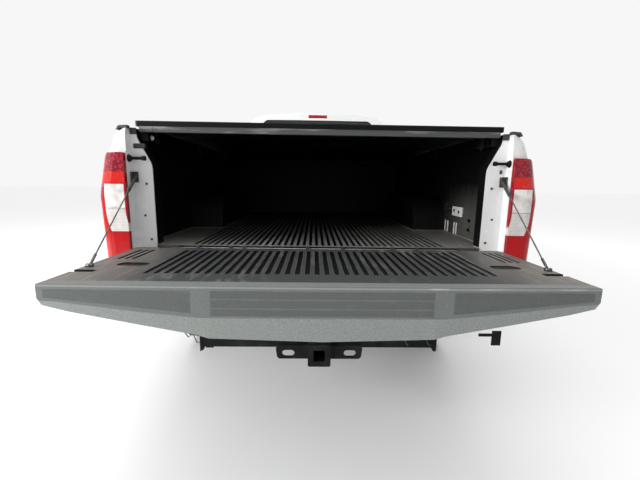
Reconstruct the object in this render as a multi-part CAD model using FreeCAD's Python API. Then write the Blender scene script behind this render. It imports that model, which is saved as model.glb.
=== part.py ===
# Heavy-duty crew cab pickup truck with its tailgate down, in millimetres.
# X is to the truck's right, Y is forward, Z is up. The origin is on the ground,
# under the middle of the whole length from the front bumper to the open tailgate.
import FreeCAD, Part
import math
import os

V = FreeCAD.Vector

# Driving dimensions
WHEELBASE = 4060.0
FRONT_OVERHANG = 975.0
TAIL_OVERHANG = 1160.0
TYRE_DIAMETER = 830.0
TYRE_WIDTH = 275.0
FRONT_TRACK = 1735.0
REAR_TRACK = 1707.0
ARCH_RADIUS = 505.0
ARCH_Z = 470.0
KINGPIN_X = 745.0

BODY_HALF = 1000.0
SILL_HALF = 958.0
BELT_Z = 1352.0
BELT_HALF = 985.0
ROOF_Z = 2080.0
ROOF_RAIL_Z = 1862.0
ROOF_RAIL_HALF = 822.0
FLOOR_PAN_Z = 470.0
DOOR_THICKNESS = 105.0
PILLAR_THICKNESS = 46.0
ROOF_THICKNESS = 44.0
DOOR_GAP = 7.0

CAB_GAP = 34.0
BED_LENGTH = 2080.0
BED_FLOOR_Z = 935.0
BED_RAIL_Z = 1475.0
BED_HALF = 850.0
BED_WALL_FRONT = 40.0
BED_OPENING_HALF = 775.0
BODY_CORNER = 60.0
LAMP_CORNER = 66.0
WHEELHOUSE_HALF = 645.0
LINER = 10.0

GATE_HALF = 858.0
GATE_THICKNESS = 62.0
GATE_HEIGHT = 581.0
GATE_CAP = 34.0
JAMB_DEPTH = 70.0

COVER_THICKNESS = 22.0
COVER_HALF = 844.0

# Stations along the truck
TYRE_R = TYRE_DIAMETER / 2
GATE_PIVOT_BACK = JAMB_DEPTH - 31.0
CAP_CROWN = 8.0
REAR_REACH = TAIL_OVERHANG + GATE_HEIGHT + CAP_CROWN - GATE_PIVOT_BACK
OVERALL = WHEELBASE + FRONT_OVERHANG + REAR_REACH
REAR_AXLE_Y = REAR_REACH - OVERALL / 2
FRONT_AXLE_Y = REAR_AXLE_Y + WHEELBASE
FRONT_Y = FRONT_AXLE_Y + FRONT_OVERHANG
TAIL_Y = REAR_AXLE_Y - TAIL_OVERHANG
JAMB_Y = TAIL_Y + JAMB_DEPTH
GATE_PIVOT_Y = TAIL_Y + GATE_PIVOT_BACK
BED_TOP_Z = BED_FLOOR_Z + LINER
GATE_PIVOT_Z = BED_TOP_Z - 30.0
BULKHEAD_Y = JAMB_Y + BED_LENGTH
BED_FRONT_Y = BULKHEAD_Y + BED_WALL_FRONT
CAB_BACK_Y = BED_FRONT_Y + CAB_GAP
COWL_Y = FRONT_AXLE_Y - 560.0
DOOR_FRONT_Y = FRONT_AXLE_Y - 735.0
DOOR_SPLIT_Y = DOOR_FRONT_Y - 1130.0
DOOR_REAR_Y = CAB_BACK_Y + 150.0


def save(name, shape):
    shape.exportStep("parts/%s.step" % name)
    kinds = "%d solids, %.1f litres" % (len(shape.Solids), shape.Volume / 1e6)
    print(name, kinds, "valid" if shape.isValid() else "NOT VALID")


def mirror(shape):
    return shape.mirror(V(0, 0, 0), V(1, 0, 0))


def pair(shape):
    return Part.makeCompound([shape, mirror(shape)])


def fuse(shapes):
    joined = shapes[0].multiFuse(shapes[1:])
    return joined.removeSplitter()


def compound(shapes):
    return Part.makeCompound([s for shape in shapes for s in shape.Solids])


# An outline is a list of corners (u, v) or (u, v, rounding radius).
# Its plane is "x", "y" or "z", the axis that it faces, at a place along it.
def point(plane, place, u, v):
    if plane == "x":
        return V(place, u, v)
    if plane == "y":
        return V(u, place, v)
    return V(u, v, place)


def wire(corners, plane, place):
    spots = [point(plane, place, c[0], c[1]) for c in corners]
    edges = []
    starts = []
    ends = []
    middles = []
    for i, corner in enumerate(corners):
        here = spots[i]
        radius = corner[2] if len(corner) > 2 else 0
        back = (spots[i - 1] - here).normalize()
        ahead = (spots[(i + 1) % len(spots)] - here).normalize()
        angle = back.getAngle(ahead)
        if radius and angle < math.pi - 1e-4:
            cut = radius / math.tan(angle / 2)
            between = (back + ahead).normalize()
            starts.append(here + back * cut)
            ends.append(here + ahead * cut)
            middles.append(here + between * (radius / math.sin(angle / 2) - radius))
        else:
            starts.append(here)
            ends.append(here)
            middles.append(None)
    for i in range(len(spots)):
        if (starts[i] - ends[i - 1]).Length > 1e-6:
            edges.append(Part.LineSegment(ends[i - 1], starts[i]).toShape())
        if middles[i] is not None:
            edges.append(Part.Arc(starts[i], middles[i], ends[i]).toShape())
    return Part.Wire(edges)


def rectangle(u0, u1, v0, v1, radius):
    return [(u0, v0, radius), (u1, v0, radius), (u1, v1, radius), (u0, v1, radius)]


def prism(corners, plane, low, high):
    face = Part.Face(wire(corners, plane, low))
    return face.extrude(point(plane, high - low, 0, 0))


def box(x0, x1, y0, y1, z0, z1):
    return Part.makeBox(x1 - x0, y1 - y0, z1 - z0, V(x0, y0, z0))


def tube_x(radius, x0, x1, y, z):
    return Part.makeCylinder(radius, x1 - x0, V(x0, y, z), V(1, 0, 0))


# Moves each side of a convex outline inwards. The corners run anticlockwise or clockwise.
def inset(corners, amount):
    count = len(corners)
    area = sum(
        corners[i - 1][0] * corners[i][1] - corners[i][0] * corners[i - 1][1]
        for i in range(count)
    )
    side = 1 if area > 0 else -1
    amounts = amount if isinstance(amount, (list, tuple)) else [amount] * count
    lines = []
    for i in range(count):
        u0, v0 = corners[i - 1][:2]
        u1, v1 = corners[i][:2]
        length = math.hypot(u1 - u0, v1 - v0)
        nu = -(v1 - v0) / length * side
        nv = (u1 - u0) / length * side
        lines.append((nu, nv, nu * u0 + nv * v0 + amounts[i]))
    moved = []
    for i in range(count):
        a0, b0, c0 = lines[i]
        a1, b1, c1 = lines[(i + 1) % count]
        det = a0 * b1 - a1 * b0
        u = (c0 * b1 - c1 * b0) / det
        v = (a0 * c1 - a1 * c0) / det
        radius = corners[i][2] if len(corners[i]) > 2 else 0
        shift = min(amounts[i], amounts[(i + 1) % count])
        moved.append((u, v, max(radius - shift, 4.0) if radius else 0))
    return moved


# The side skin of the body from the sill to the belt, as half widths at heights
def skin_side(depth):
    return [
        (SILL_HALF - 55.0 - depth, FLOOR_PAN_Z, 0),
        (SILL_HALF - depth, FLOOR_PAN_Z + 60.0, 45.0),
        (BODY_HALF - 4.0 - depth, 800.0, 220.0),
        (BODY_HALF + 8.0 - depth, 1185.0, 150.0),
    ]


def cab_section(y, low, up, roof, drop, narrow, rise):
    rail = ROOF_RAIL_HALF - narrow - up
    side = skin_side(low)
    side[0] = (side[0][0], FLOOR_PAN_Z + rise, 0)
    side += [
        (BELT_HALF - 13.0 - up - (low - up) * 0.5, BELT_Z, 18.0),
        (rail, ROOF_RAIL_Z - drop, 160.0),
        (rail - 126.0, ROOF_Z - 78.0 - drop - roof * 0.9, 110.0),
        (0.0, ROOF_Z - drop - roof, 4500.0),
    ]
    left = [(-x, z, r) for x, z, r in reversed(side[:-1])]
    return wire(side + left, "y", y)


# Windscreen and rear window are curved sheets leaning along these slopes
SCREEN_SLOPE = V(0, -1.24, 1)
SCREEN_BOW = 115.0
SCREEN_BASE_Z = 1400.0
BACK_SLOPE = V(0, 0.17, 1)
BACK_BOW = 22.0


def ahead_of_screen(depth):
    y_mid = COWL_Y - depth * 1.3
    half = 1100.0
    y_side = y_mid - SCREEN_BOW * (half / 800.0) ** 2
    arc = Part.Arc(V(-half, y_side, 0), V(0, y_mid, 0), V(half, y_side, 0)).toShape()
    far = y_mid + 1500.0
    edges = [
        arc,
        Part.LineSegment(V(half, y_side, 0), V(half, far, 0)).toShape(),
        Part.LineSegment(V(half, far, 0), V(-half, far, 0)).toShape(),
        Part.LineSegment(V(-half, far, 0), V(-half, y_side, 0)).toShape(),
    ]
    face = Part.Face(Part.Wire(edges))
    face.translate(SCREEN_SLOPE * -400.0 + V(0, 0, SCREEN_BASE_Z))
    return face.extrude(SCREEN_SLOPE * 1200.0)


def behind_back_window(depth):
    y_mid = CAB_BACK_Y + depth
    half = 1100.0
    y_side = y_mid + BACK_BOW * (half / 800.0) ** 2
    arc = Part.Arc(V(-half, y_side, 0), V(0, y_mid, 0), V(half, y_side, 0)).toShape()
    far = y_mid - 600.0
    edges = [
        arc,
        Part.LineSegment(V(half, y_side, 0), V(half, far, 0)).toShape(),
        Part.LineSegment(V(half, far, 0), V(-half, far, 0)).toShape(),
        Part.LineSegment(V(-half, far, 0), V(-half, y_side, 0)).toShape(),
    ]
    face = Part.Face(Part.Wire(edges))
    face.translate(BACK_SLOPE * -300.0 + V(0, 0, BELT_Z))
    return face.extrude(BACK_SLOPE * 1200.0)


def cab_volume(low, up, roof, screen, back, rise, front):
    # Place, drop of the roof and narrowing of its rail
    stations = [
        (CAB_BACK_Y - 40.0, 62.0, 34.0),
        (CAB_BACK_Y + 420.0, 16.0, 12.0),
        (DOOR_SPLIT_Y, 0.0, 0.0),
        (DOOR_FRONT_Y - 620.0, 22.0, 0.0),
        (COWL_Y + 10.0, 190.0, 0.0),
    ]
    wires = [cab_section(y, low, up, roof, drop, narrow, rise) for y, drop, narrow in stations]
    volume = Part.makeLoft(wires, True, False)
    back_low = box(-1100, 1100, CAB_BACK_Y - 200, CAB_BACK_Y + back, 0, BELT_Z + 400)
    volume = volume.cut(back_low)
    volume = volume.cut(behind_back_window(back))
    volume = volume.cut(ahead_of_screen(screen))
    y_front = COWL_Y - 40.0 - front
    return volume.cut(box(-1200, 1200, y_front, y_front + 900, 0, 2300))


def front_door_outline():
    return [
        (DOOR_FRONT_Y, 575.0, 45.0),
        (DOOR_FRONT_Y, 1330.0, 60.0),
        (DOOR_FRONT_Y - 715.0, 1926.0, 60.0),
        (DOOR_SPLIT_Y + DOOR_GAP / 2, 1936.0, 10.0),
        (DOOR_SPLIT_Y + DOOR_GAP / 2, 575.0, 14.0),
    ]


def rear_door_outline():
    return [
        (DOOR_SPLIT_Y - DOOR_GAP / 2, 575.0, 14.0),
        (DOOR_SPLIT_Y - DOOR_GAP / 2, 1936.0, 10.0),
        (DOOR_REAR_Y + 105.0, 1916.0, 90.0),
        (DOOR_REAR_Y, 1352.0, 60.0),
        (DOOR_REAR_Y, 575.0, 45.0),
    ]


def front_window_outline():
    corner = front_door_outline()
    slope = (corner[2][0] - corner[1][0]) / (corner[2][1] - corner[1][1])
    y_low = corner[1][0] + slope * (1310.0 - corner[1][1])
    upper = [(y_low, 1316.0, 60.0), corner[2], corner[3], (corner[3][0], 1316.0, 60.0)]
    return inset(upper, 60.0)


def rear_window_outline():
    corner = rear_door_outline()
    slope = (corner[3][0] - corner[2][0]) / (corner[3][1] - corner[2][1])
    y_low = corner[3][0] + slope * (1316.0 - corner[3][1])
    upper = [(corner[1][0], 1316.0, 60.0), corner[1], corner[2], (y_low, 1316.0, 60.0)]
    return inset(upper, 60.0)


def through_side(outline):
    return prism(outline, "x", 500.0, 1300.0)


# Every piece of the cab is cut from these nested volumes
def cab_volumes():
    inside = cab_volume(DOOR_THICKNESS, PILLAR_THICKNESS, ROOF_THICKNESS, 46, 60, 245, 60)
    skin = cab_volume(0, 0, 0, 0, 0, 0, 0)
    sheet = cab_volume(20, 20, 20, 20, 20, 20, 20)
    glass_face = cab_volume(10, 10, 10, 10, 10, 10, 10)
    glass_back = cab_volume(16, 16, 16, 16, 16, 16, 16)
    return {
        "skin": skin,
        "inside": inside,
        "rebate": cab_volume(32, 32, 32, 32, 32, 32, 26),
        "sheet": skin.cut(sheet),
        "wall": sheet.cut(inside),
        "glass": glass_face.cut(glass_back),
    }


# How far the inner layer of a door stands back from its outline, side by side
FRONT_DOOR_STEPS = [22.0, 22.0, 22.0, 22.0, 50.0]
REAR_DOOR_STEPS = [22.0, 50.0, 22.0, 22.0, 22.0]


# Keeps a door and its opening clear of the cab floor
def floor_edge(x):
    return box(400.0, x, -1000.0, 2000.0, 400.0, 735.0)


# A hinge pin stands in a leaf on the pillar. The door turns on it.
HINGE_X = 999.0
HINGE_BACK = 14.0
HINGE_HEIGHTS = (1040.0, 1210.0)


def door_hinge(y_front, low):
    y = y_front - HINGE_BACK
    leaf = [(948.0, y - 3.0), (HINGE_X + 3.0, y - 3.0), (HINGE_X + 3.0, y + 3.0), (964.0, y + 3.0)]
    leaf += [(964.0, y_front + 4.0), (948.0, y_front + 4.0)]
    plate = prism(leaf, "z", low - 7.0, low + 7.0)
    pin = Part.makeCylinder(3.0, 52.0, V(HINGE_X, y, low - 26.0))
    return [plate, pin]


def hinge_pocket(y_front, low):
    y = y_front - HINGE_BACK
    slot = box(900.0, HINGE_X + 5.0, y - 6.0, y_front + 20.0, low - 10.0, low + 10.0)
    hole = Part.makeCylinder(3.05, 58.0, V(HINGE_X, y, low - 29.0))
    return [slot, hole]


def door(volumes, outline, steps, window):
    y_front = max(corner[0] for corner in outline)
    outer = volumes["sheet"].common(through_side(outline))
    inner = volumes["wall"].common(through_side(inset(outline, steps)).cut(floor_edge(848.0)))
    cuts = [through_side(window)]
    for z in HINGE_HEIGHTS:
        cuts += hinge_pocket(y_front, z)
    return outer.fuse(inner).cut(cuts)


def door_opening(volumes, outline, gap, steps, step_gap):
    outer = through_side(inset(outline, -gap)).cut(volumes["rebate"])
    through = through_side(inset(outline, [step - step_gap for step in steps]))
    return [outer, through.cut(floor_edge(838.0))]


def door_handle(y):
    grip = [(y - 130.0, 1120.0, 16.0), (y + 130.0, 1120.0, 16.0)]
    grip += [(y + 130.0, 1160.0, 16.0), (y - 130.0, 1160.0, 16.0)]
    bar = prism(grip, "x", 1012.0, 1038.0)
    ends = [box(980.0, 1020.0, y + s * 110.0 - 16.0, y + s * 110.0 + 16.0, 1126.0, 1154.0) for s in (-1, 1)]
    return [bar] + ends


def front_door(volumes):
    panel = door(volumes, front_door_outline(), FRONT_DOOR_STEPS, front_window_outline())
    return fuse([panel] + door_handle(DOOR_SPLIT_Y + 190.0))


def rear_door(volumes):
    panel = door(volumes, rear_door_outline(), REAR_DOOR_STEPS, rear_window_outline())
    return fuse([panel] + door_handle(DOOR_REAR_Y + 175.0))


def window_pane(volumes, outline):
    return volumes["glass"].common(through_side(inset(outline, 0.3)))


# Mirrors with a tall head on two arms
MIRROR_OUT = 1332.0


def mirror_head():
    head = [(1092.0, 1395.0, 40.0), (MIRROR_OUT, 1405.0, 45.0)]
    return head + [(MIRROR_OUT, 1745.0, 55.0), (1100.0, 1755.0, 50.0)]


def door_mirror(volumes):
    shell = prism(mirror_head(), "y", 1395.0, 1500.0)
    nose = prism(inset(mirror_head(), 26.0), "y", 1499.0, 1545.0)
    recess = prism(inset(mirror_head(), 12.0), "y", 1394.0, 1403.0)
    foot_outline = [(1470.0, 1275.0, 15.0), (1605.0, 1275.0, 15.0)]
    foot_outline += [(1595.0, 1356.0, 15.0), (1490.0, 1356.0, 15.0)]
    foot = prism(foot_outline, "x", 900.0, 1016.0)
    arm = prism([(985.0, 1290.0), (1130.0, 1400.0), (1130.0, 1452.0), (985.0, 1345.0)], "y", 1490.0, 1556.0)
    body = fuse([shell, nose, arm, foot]).cut(recess)
    return body.cut(volumes["skin"])


def mirror_glass():
    return prism(inset(mirror_head(), 13.0), "y", 1397.0, 1403.0)


def windscreen_outline():
    return [(-770.0, 1450.0, 60.0), (770.0, 1450.0, 60.0), (668.0, 1958.0, 90.0), (-668.0, 1958.0, 90.0)]


def back_window_outline():
    return [(-640.0, 1400.0, 60.0), (640.0, 1400.0, 60.0), (598.0, 1925.0, 70.0), (-598.0, 1925.0, 70.0)]


def cab_body(volumes):
    shell = volumes["skin"].cut(volumes["inside"])
    cuts = []
    cuts += door_opening(volumes, front_door_outline(), 7.0, FRONT_DOOR_STEPS, 14.0)
    cuts += door_opening(volumes, rear_door_outline(), 7.0, REAR_DOOR_STEPS, 14.0)
    cuts += [mirror(cut) for cut in cuts]
    wing = box(600.0, 1100.0, DOOR_FRONT_Y + 1.0, 2200.0, 0.0, 1442.0).cut(volumes["rebate"])
    cuts += [wing, mirror(wing)]
    cuts.append(prism(windscreen_outline(), "y", 900.0, 1900.0))
    cuts.append(prism(back_window_outline(), "y", CAB_BACK_Y - 100.0, CAB_BACK_Y + 300.0))
    cuts.append(box(-840.0, 840.0, CAB_BACK_Y - 100.0, 1900.0, 400.0, 690.0))
    cuts.append(stop_lamp(volumes))
    body = shell.cut(cuts)
    cowl = prism([(1740.0, 1340.0), (1905.0, 1330.0), (1905.0, 1352.0), (1740.0, 1364.0)], "x", -800.0, 800.0)
    hinges = []
    for y_front in (DOOR_FRONT_Y, DOOR_SPLIT_Y - DOOR_GAP / 2):
        for z in HINGE_HEIGHTS:
            hinges += door_hinge(y_front, z)
    return fuse([body, cowl] + hinges + [mirror(hinge) for hinge in hinges])


def cab_glass(volumes):
    front = volumes["glass"].common(prism(inset(windscreen_outline(), 0.3), "y", 900.0, 1900.0))
    opening = prism(inset(back_window_outline(), 0.3), "y", CAB_BACK_Y - 100.0, CAB_BACK_Y + 300.0)
    return compound([front, volumes["glass"].common(opening)])


def front_region(y_mid, sweep, low, high):
    back = 1500.0
    right = V(1000, y_mid - sweep, low)
    left = V(-1000, y_mid - sweep, low)
    arc = Part.Arc(left, V(0, y_mid, low), right).toShape()
    corners = [right, V(1000, back, low), V(-1000, back, low), left]
    lines = [Part.LineSegment(corners[i], corners[i + 1]).toShape() for i in range(3)]
    return Part.Face(Part.Wire([arc] + lines)).extrude(V(0, 0, high - low))


# Front wings with their arches and liners
def wing_section(depth):
    side = [(x, z, r) for x, z, r in skin_side(depth)]
    side[0] = (SILL_HALF - 40.0 - depth, 520.0 + depth, 0)
    side.append((BELT_HALF - 13.0 - depth, BELT_Z, 18.0))
    side.append((912.0 - depth, 1424.0 - depth, 24.0))
    side.append((850.0, 1434.0 - depth, 0))
    side.append((850.0 if depth == 0 else 830.0, 520.0 + depth, 0))
    return side


GRILLE_HALF = 648.0
GRILLE_TOP = 1296.0
HOOD_DROP = 86.0
HOOD_BACK_Y = 1850.0
HOOD_HINGE_Y = 1880.0
HOOD_HINGE_Z = 1410.0


# Closes the front of the wing between the bumper and the headlamp
def wing_nose():
    outline = wing_section(0.0)[:-2] + [(GRILLE_HALF + 8.0, 1434.0, 0), (GRILLE_HALF + 8.0, 520.0, 0)]
    face = prism(outline, "y", 2900.0, FRONT_Y).common(box(600.0, 1100.0, 2900.0, 3500.0, 800.0, 1000.0))
    face = face.common(front_region(FRONT_Y - 45.0, 175.0, 700.0, 1100.0))
    return face.cut([front_region(FRONT_Y - 63.0, 175.0, 600.0, 1200.0), headlamp_block(3.0)])


def wing_top_cut():
    far = FRONT_Y + 50.0
    outline = [(1600.0, 1440.0), (2100.0, 1434.0), (far, 1434.0 - HOOD_DROP), (far, 1700.0), (1600.0, 1700.0)]
    return prism(outline, "x", 0.0, 1200.0)


def front_wings(volumes):
    y_low = DOOR_FRONT_Y + 8.0
    outer = prism(wing_section(0.0), "y", y_low, FRONT_Y)
    inner = prism(wing_section(20.0), "y", y_low - 10.0, FRONT_Y + 10.0)
    wing = outer.cut([inner, wing_top_cut()])
    shelf = prism([(850.0, 1340.0), (880.0, 1340.0), (880.0, 1500.0), (850.0, 1500.0)], "y", 1830.0, FRONT_Y)
    wing = wing.fuse(shelf.cut(wing_top_cut()))
    liner = tube_x(ARCH_RADIUS + 12.0, 640.0, 985.0, FRONT_AXLE_Y, ARCH_Z)
    liner = liner.common(box(600.0, 1000.0, 1500.0, 3400.0, 560.0, 1400.0))
    wing = wing.fuse(liner)
    flare = tube_x(ARCH_RADIUS + 62.0, 940.0, 1016.0, FRONT_AXLE_Y, ARCH_Z)
    flare = flare.common(box(900.0, 1020.0, 1500.0, 3400.0, 530.0, 1400.0))
    wing = wing.fuse(flare)
    wing = wing.cut(tube_x(ARCH_RADIUS, 500.0, 1100.0, FRONT_AXLE_Y, ARCH_Z))
    wing = wing.common(front_region(FRONT_Y - 45.0, 175.0, 400.0, 1500.0))
    wing = wing.cut([headlamp_block(3.0), volumes["rebate"]])
    wing = wing.cut(box(500.0, 1100.0, 2940.0, 3500.0, 400.0, 800.0))
    wing = wing.cut(box(500.0, 705.0, 2940.0, 3500.0, 400.0, 1300.0))
    wing = wing.fuse(wing_nose())
    pin = tube_x(5.0, 822.0, 852.0, HOOD_HINGE_Y, HOOD_HINGE_Z)
    return pair(fuse([wing, pin]))


def hood_section(y, share):
    edge = 1430.0 - HOOD_DROP * (y - 1812.0) / (FRONT_Y + 50.0 - 1812.0)
    rise = 24.0 * share + 6.0
    top = [(842.0, edge - 6.0), (560.0, edge + 6.0, 120.0)]
    top += [(455.0, edge + 6.0 + rise, 80.0), (0.0, edge + 16.0 + rise)]
    low = [(0.0, edge - 20.0), (455.0, edge - 30.0, 60.0), (560.0, edge - 38.0, 60.0), (842.0, edge - 44.0)]
    return top + low


def hood():
    stations = ((HOOD_BACK_Y, 1.0), (2500.0, 0.9), (3340.0, 0.45))
    wires = [wire(hood_section(y, share), "y", y) for y, share in stations]
    panel = Part.makeLoft(wires, True, True)
    panel = panel.common(front_region(FRONT_Y - 60.0, 175.0, 1000.0, 1700.0))
    panel = panel.cut(tube_x(5.05, 818.0, 860.0, HOOD_HINGE_Y, HOOD_HINGE_Z))
    return fuse([panel, mirror(panel)])


def headlamp_outline(grow):
    low = [(655.0 - grow, 955.0 - grow, 30.0), (1030.0, 965.0 - grow, 10.0)]
    return low + [(1030.0, 1296.0 + grow, 10.0), (655.0 - grow, 1286.0 + grow, 30.0)]


def headlamp_block(grow):
    depth = box(500.0, 1050.0, 2960.0 - grow * 0.1, 3400.0, 800.0, 1400.0)
    return prism(headlamp_outline(grow), "y", 2900.0, 3400.0).common(depth)


def headlamps():
    lamp = headlamp_block(0.0).common(front_region(FRONT_Y - 52.0, 178.0, 900.0, 1400.0))
    lamp = lamp.common(box(600.0, 1004.0, 2960.0, 3400.0, 900.0, 1300.0))
    lamp = lamp.cut(tube_x(ARCH_RADIUS + 14.0, 500.0, 1100.0, FRONT_AXLE_Y, ARCH_Z))
    return pair(lamp)


def grille():
    half = GRILLE_HALF
    outline = [(-half, 800.0, 40.0), (half, 800.0, 40.0), (half, GRILLE_TOP, 30.0), (-half, GRILLE_TOP, 30.0)]
    body = prism(outline, "y", 2900.0, 3400.0)
    body = body.common(front_region(FRONT_Y - 30.0, 175.0, 700.0, 1400.0))
    back = front_region(FRONT_Y - 95.0, 175.0, 600.0, 1500.0)
    body = body.cut(back)
    windows = []
    for z0, z1 in ((838.0, 938.0), (1128.0, 1228.0)):
        windows.append(prism(rectangle(-600.0, 600.0, z0, z1, 20.0), "y", 2900.0, 3400.0))
    for side in (-1, 1):
        a, b = sorted((side * 250.0, side * 600.0))
        windows.append(prism(rectangle(a, b, 968.0, 1098.0, 20.0), "y", 2900.0, 3400.0))
    face = body.cut(windows)
    mesh = front_region(FRONT_Y - 75.0, 175.0, 826.0, 1240.0)
    mesh = mesh.cut(front_region(FRONT_Y - 85.0, 175.0, 800.0, 1300.0))
    mesh = mesh.common(box(-610.0, 610.0, 2900.0, 3400.0, 826.0, 1240.0))
    slots = [box(-700.0, 700.0, 2900.0, 3400.0, 830.0 + 22.0 * i, 842.0 + 22.0 * i) for i in range(19)]
    struts = [box(x - 8.0, x + 8.0, 2900.0, 3400.0, 826.0, 1240.0) for x in range(-595, 600, 170)]
    bars = mesh.cut(slots)
    posts = mesh.common(compound(struts))
    tabs = []
    for x in (-626.0, 626.0):
        for z in (812.0, 1226.0):
            tabs.append(box(x - 14.0, x + 14.0, 3100.0, 3236.0, z, z + 22.0))
    return fuse([face, bars, posts] + tabs)


def front_bumper():
    outer = front_region(FRONT_Y, 205.0, 500.0, 780.0)
    inner = front_region(FRONT_Y - 60.0, 205.0, 400.0, 748.0)
    bumper = outer.cut(inner.common(box(-945.0, 945.0, 1500.0, 3400.0, 400.0, 900.0)))
    bumper = bumper.common(box(-1000.0, 1000.0, 2945.0, 3400.0, 400.0, 900.0))
    step = front_region(FRONT_Y - 170.0, 205.0, 740.0, 800.0)
    bumper = bumper.cut(step.common(box(-905.0, 905.0, 1500.0, 3400.0, 700.0, 900.0)))
    nose = [(2900.0, 540.0), (3250.0, 500.0), (3372.0, 560.0, 60.0)]
    nose += [(3375.0, 720.0, 40.0), (3330.0, 780.0, 30.0), (2900.0, 780.0)]
    bumper = bumper.common(prism(nose, "x", -1000.0, 1000.0))
    intake = [(-420.0, 560.0, 30.0), (420.0, 560.0, 30.0), (470.0, 660.0, 30.0), (-470.0, 660.0, 30.0)]
    bumper = bumper.cut(prism(intake, "y", 3000.0, 3400.0))
    for side in (-1, 1):
        a, b = sorted((side * 620.0, side * 760.0))
        bumper = bumper.cut(prism(rectangle(a, b, 590.0, 680.0, 30.0), "y", 3285.0, 3400.0))
    tabs = [box(s * 433.0 - 40.0, s * 433.0 + 40.0, 3240.0, 3296.0, 585.0, 685.0) for s in (-1, 1)]
    return fuse([bumper] + tabs)


# Load box
SILL_Z = 838.0
SILL_STATIONS = (JAMB_Y + 60.0, -2150.0, -1130.0, -760.0)


def bed_section(y, depth):
    side = [(x, z, r) for x, z, r in skin_side(0.0)]
    side[0] = (SILL_HALF - 36.0, 562.0, 0)
    side[1] = (SILL_HALF + 6.0, 600.0, 30.0)
    side.append((BELT_HALF - 13.0, BELT_Z, 18.0))
    side.append((938.0, 1446.0, 50.0))
    side.append((908.0, BED_RAIL_Z, 12.0))
    inner = [(700.0, BED_RAIL_Z, 0), (700.0, 562.0, 0)]
    return wire(inset(side + inner, [0.0] + [depth] * 6 + [0.0, 0.0]), "y", y)


# The body's side with its rear corner rounded, step by step of a quarter turn
def bed_outer(rear_y, radius):
    sections = []
    for step in range(6):
        angle = math.radians(90.0 - 18.0 * step)
        y = rear_y + radius * (1.0 - math.sin(angle))
        sections.append(bed_section(y, radius * (1.0 - math.cos(angle))))
    corner = Part.makeLoft(sections, True, True)
    straight = Part.Face(sections[-1]).extrude(V(0, BED_FRONT_Y - rear_y - radius, 0))
    return corner.fuse(straight)


def tail_lamp_outline(grow):
    corners = [(TAIL_Y - 20.0, 893.0, 0), (TAIL_Y - 20.0, 1370.0, 0), (TAIL_Y + 118.0, 1352.0, 30.0)]
    corners += [(TAIL_Y + 132.0, 1120.0, 200.0), (TAIL_Y + 96.0, 893.0, 30.0)]
    return inset(corners, -grow) if grow else corners


def tail_lamp():
    return bed_outer(TAIL_Y, LAMP_CORNER).common(prism(tail_lamp_outline(0.0), "x", 866.0, 1100.0))


def stop_lamp(volumes):
    band = box(-205.0, 205.0, CAB_BACK_Y - 60.0, CAB_BACK_Y + 250.0, 1948.0, 1982.0)
    return volumes["skin"].common(band).common(behind_back_window(24.0))


def bed_side():
    side = bed_outer(TAIL_Y + 28.0, BODY_CORNER)
    cavity = box(600.0, BED_HALF, JAMB_Y + 62.0, BULKHEAD_Y, 800.0, 1500.0)
    side = side.cut(cavity)
    throat = [(600.0, 800.0), (BED_OPENING_HALF, 800.0), (BED_OPENING_HALF, 1318.0, 80.0)]
    throat += [(838.0, 1440.0, 60.0), (842.0, 1600.0), (600.0, 1600.0)]
    side = side.cut(prism(throat, "y", TAIL_Y - 10.0, JAMB_Y + 70.0))
    side = side.cut(box(600.0, 866.0, TAIL_Y - 10.0, JAMB_Y, 500.0, 1600.0))
    under = [(600.0, 500.0), (904.0, 500.0), (956.0, 640.0), (972.0, 800.0), (975.0, 880.0), (600.0, 880.0)]
    side = side.cut(prism(under, "y", TAIL_Y + 52.0, BED_FRONT_Y - 24.0))
    side = side.cut(box(600.0, 900.0, TAIL_Y - 10.0, BED_FRONT_Y + 10.0, 500.0, 880.0))
    flange = box(800.0, 860.0, JAMB_Y + 40.0, BULKHEAD_Y + 10.0, 1430.0, BED_RAIL_Z)
    side = side.fuse(flange)
    flare = tube_x(ARCH_RADIUS + 60.0, 940.0, 1016.0, REAR_AXLE_Y, ARCH_Z)
    flare = flare.common(box(900.0, 1020.0, -2600.0, -700.0, 566.0, 1100.0))
    side = side.fuse(flare)
    side = side.cut(tube_x(ARCH_RADIUS, 655.0, 1100.0, REAR_AXLE_Y, ARCH_Z))
    return side.cut(tail_lamp_cut()).removeSplitter()


def wheelhouse_outline():
    corners = [(REAR_AXLE_Y - 470.0, 880.0), (REAR_AXLE_Y - 400.0, 1160.0, 120.0)]
    return corners + [(REAR_AXLE_Y + 400.0, 1160.0, 120.0), (REAR_AXLE_Y + 470.0, 880.0)]


def wheelhouses(side):
    house = prism(wheelhouse_outline(), "x", WHEELHOUSE_HALF, 860.0)
    hollow = tube_x(ARCH_RADIUS, WHEELHOUSE_HALF + LINER, 1100.0, REAR_AXLE_Y, ARCH_Z)
    return pair(house.cut([hollow, side]))


def bed_floor(side, houses):
    floor = box(-864.0, 864.0, JAMB_Y, BED_FRONT_Y, 880.0, BED_FLOOR_Z)
    bulkhead = box(-870.0, 870.0, BULKHEAD_Y, BED_FRONT_Y, 900.0, BED_RAIL_Z - 12.0)
    sills = [box(-800.0, 800.0, y - 32.0, y + 32.0, SILL_Z, 881.0) for y in SILL_STATIONS]
    body = fuse([floor, bulkhead] + sills + gate_hinges())
    arch = tube_x(ARCH_RADIUS, WHEELHOUSE_HALF + LINER, 1100.0, REAR_AXLE_Y, ARCH_Z)
    return body.cut([arch, mirror(arch), side, mirror(side), houses])


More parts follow.
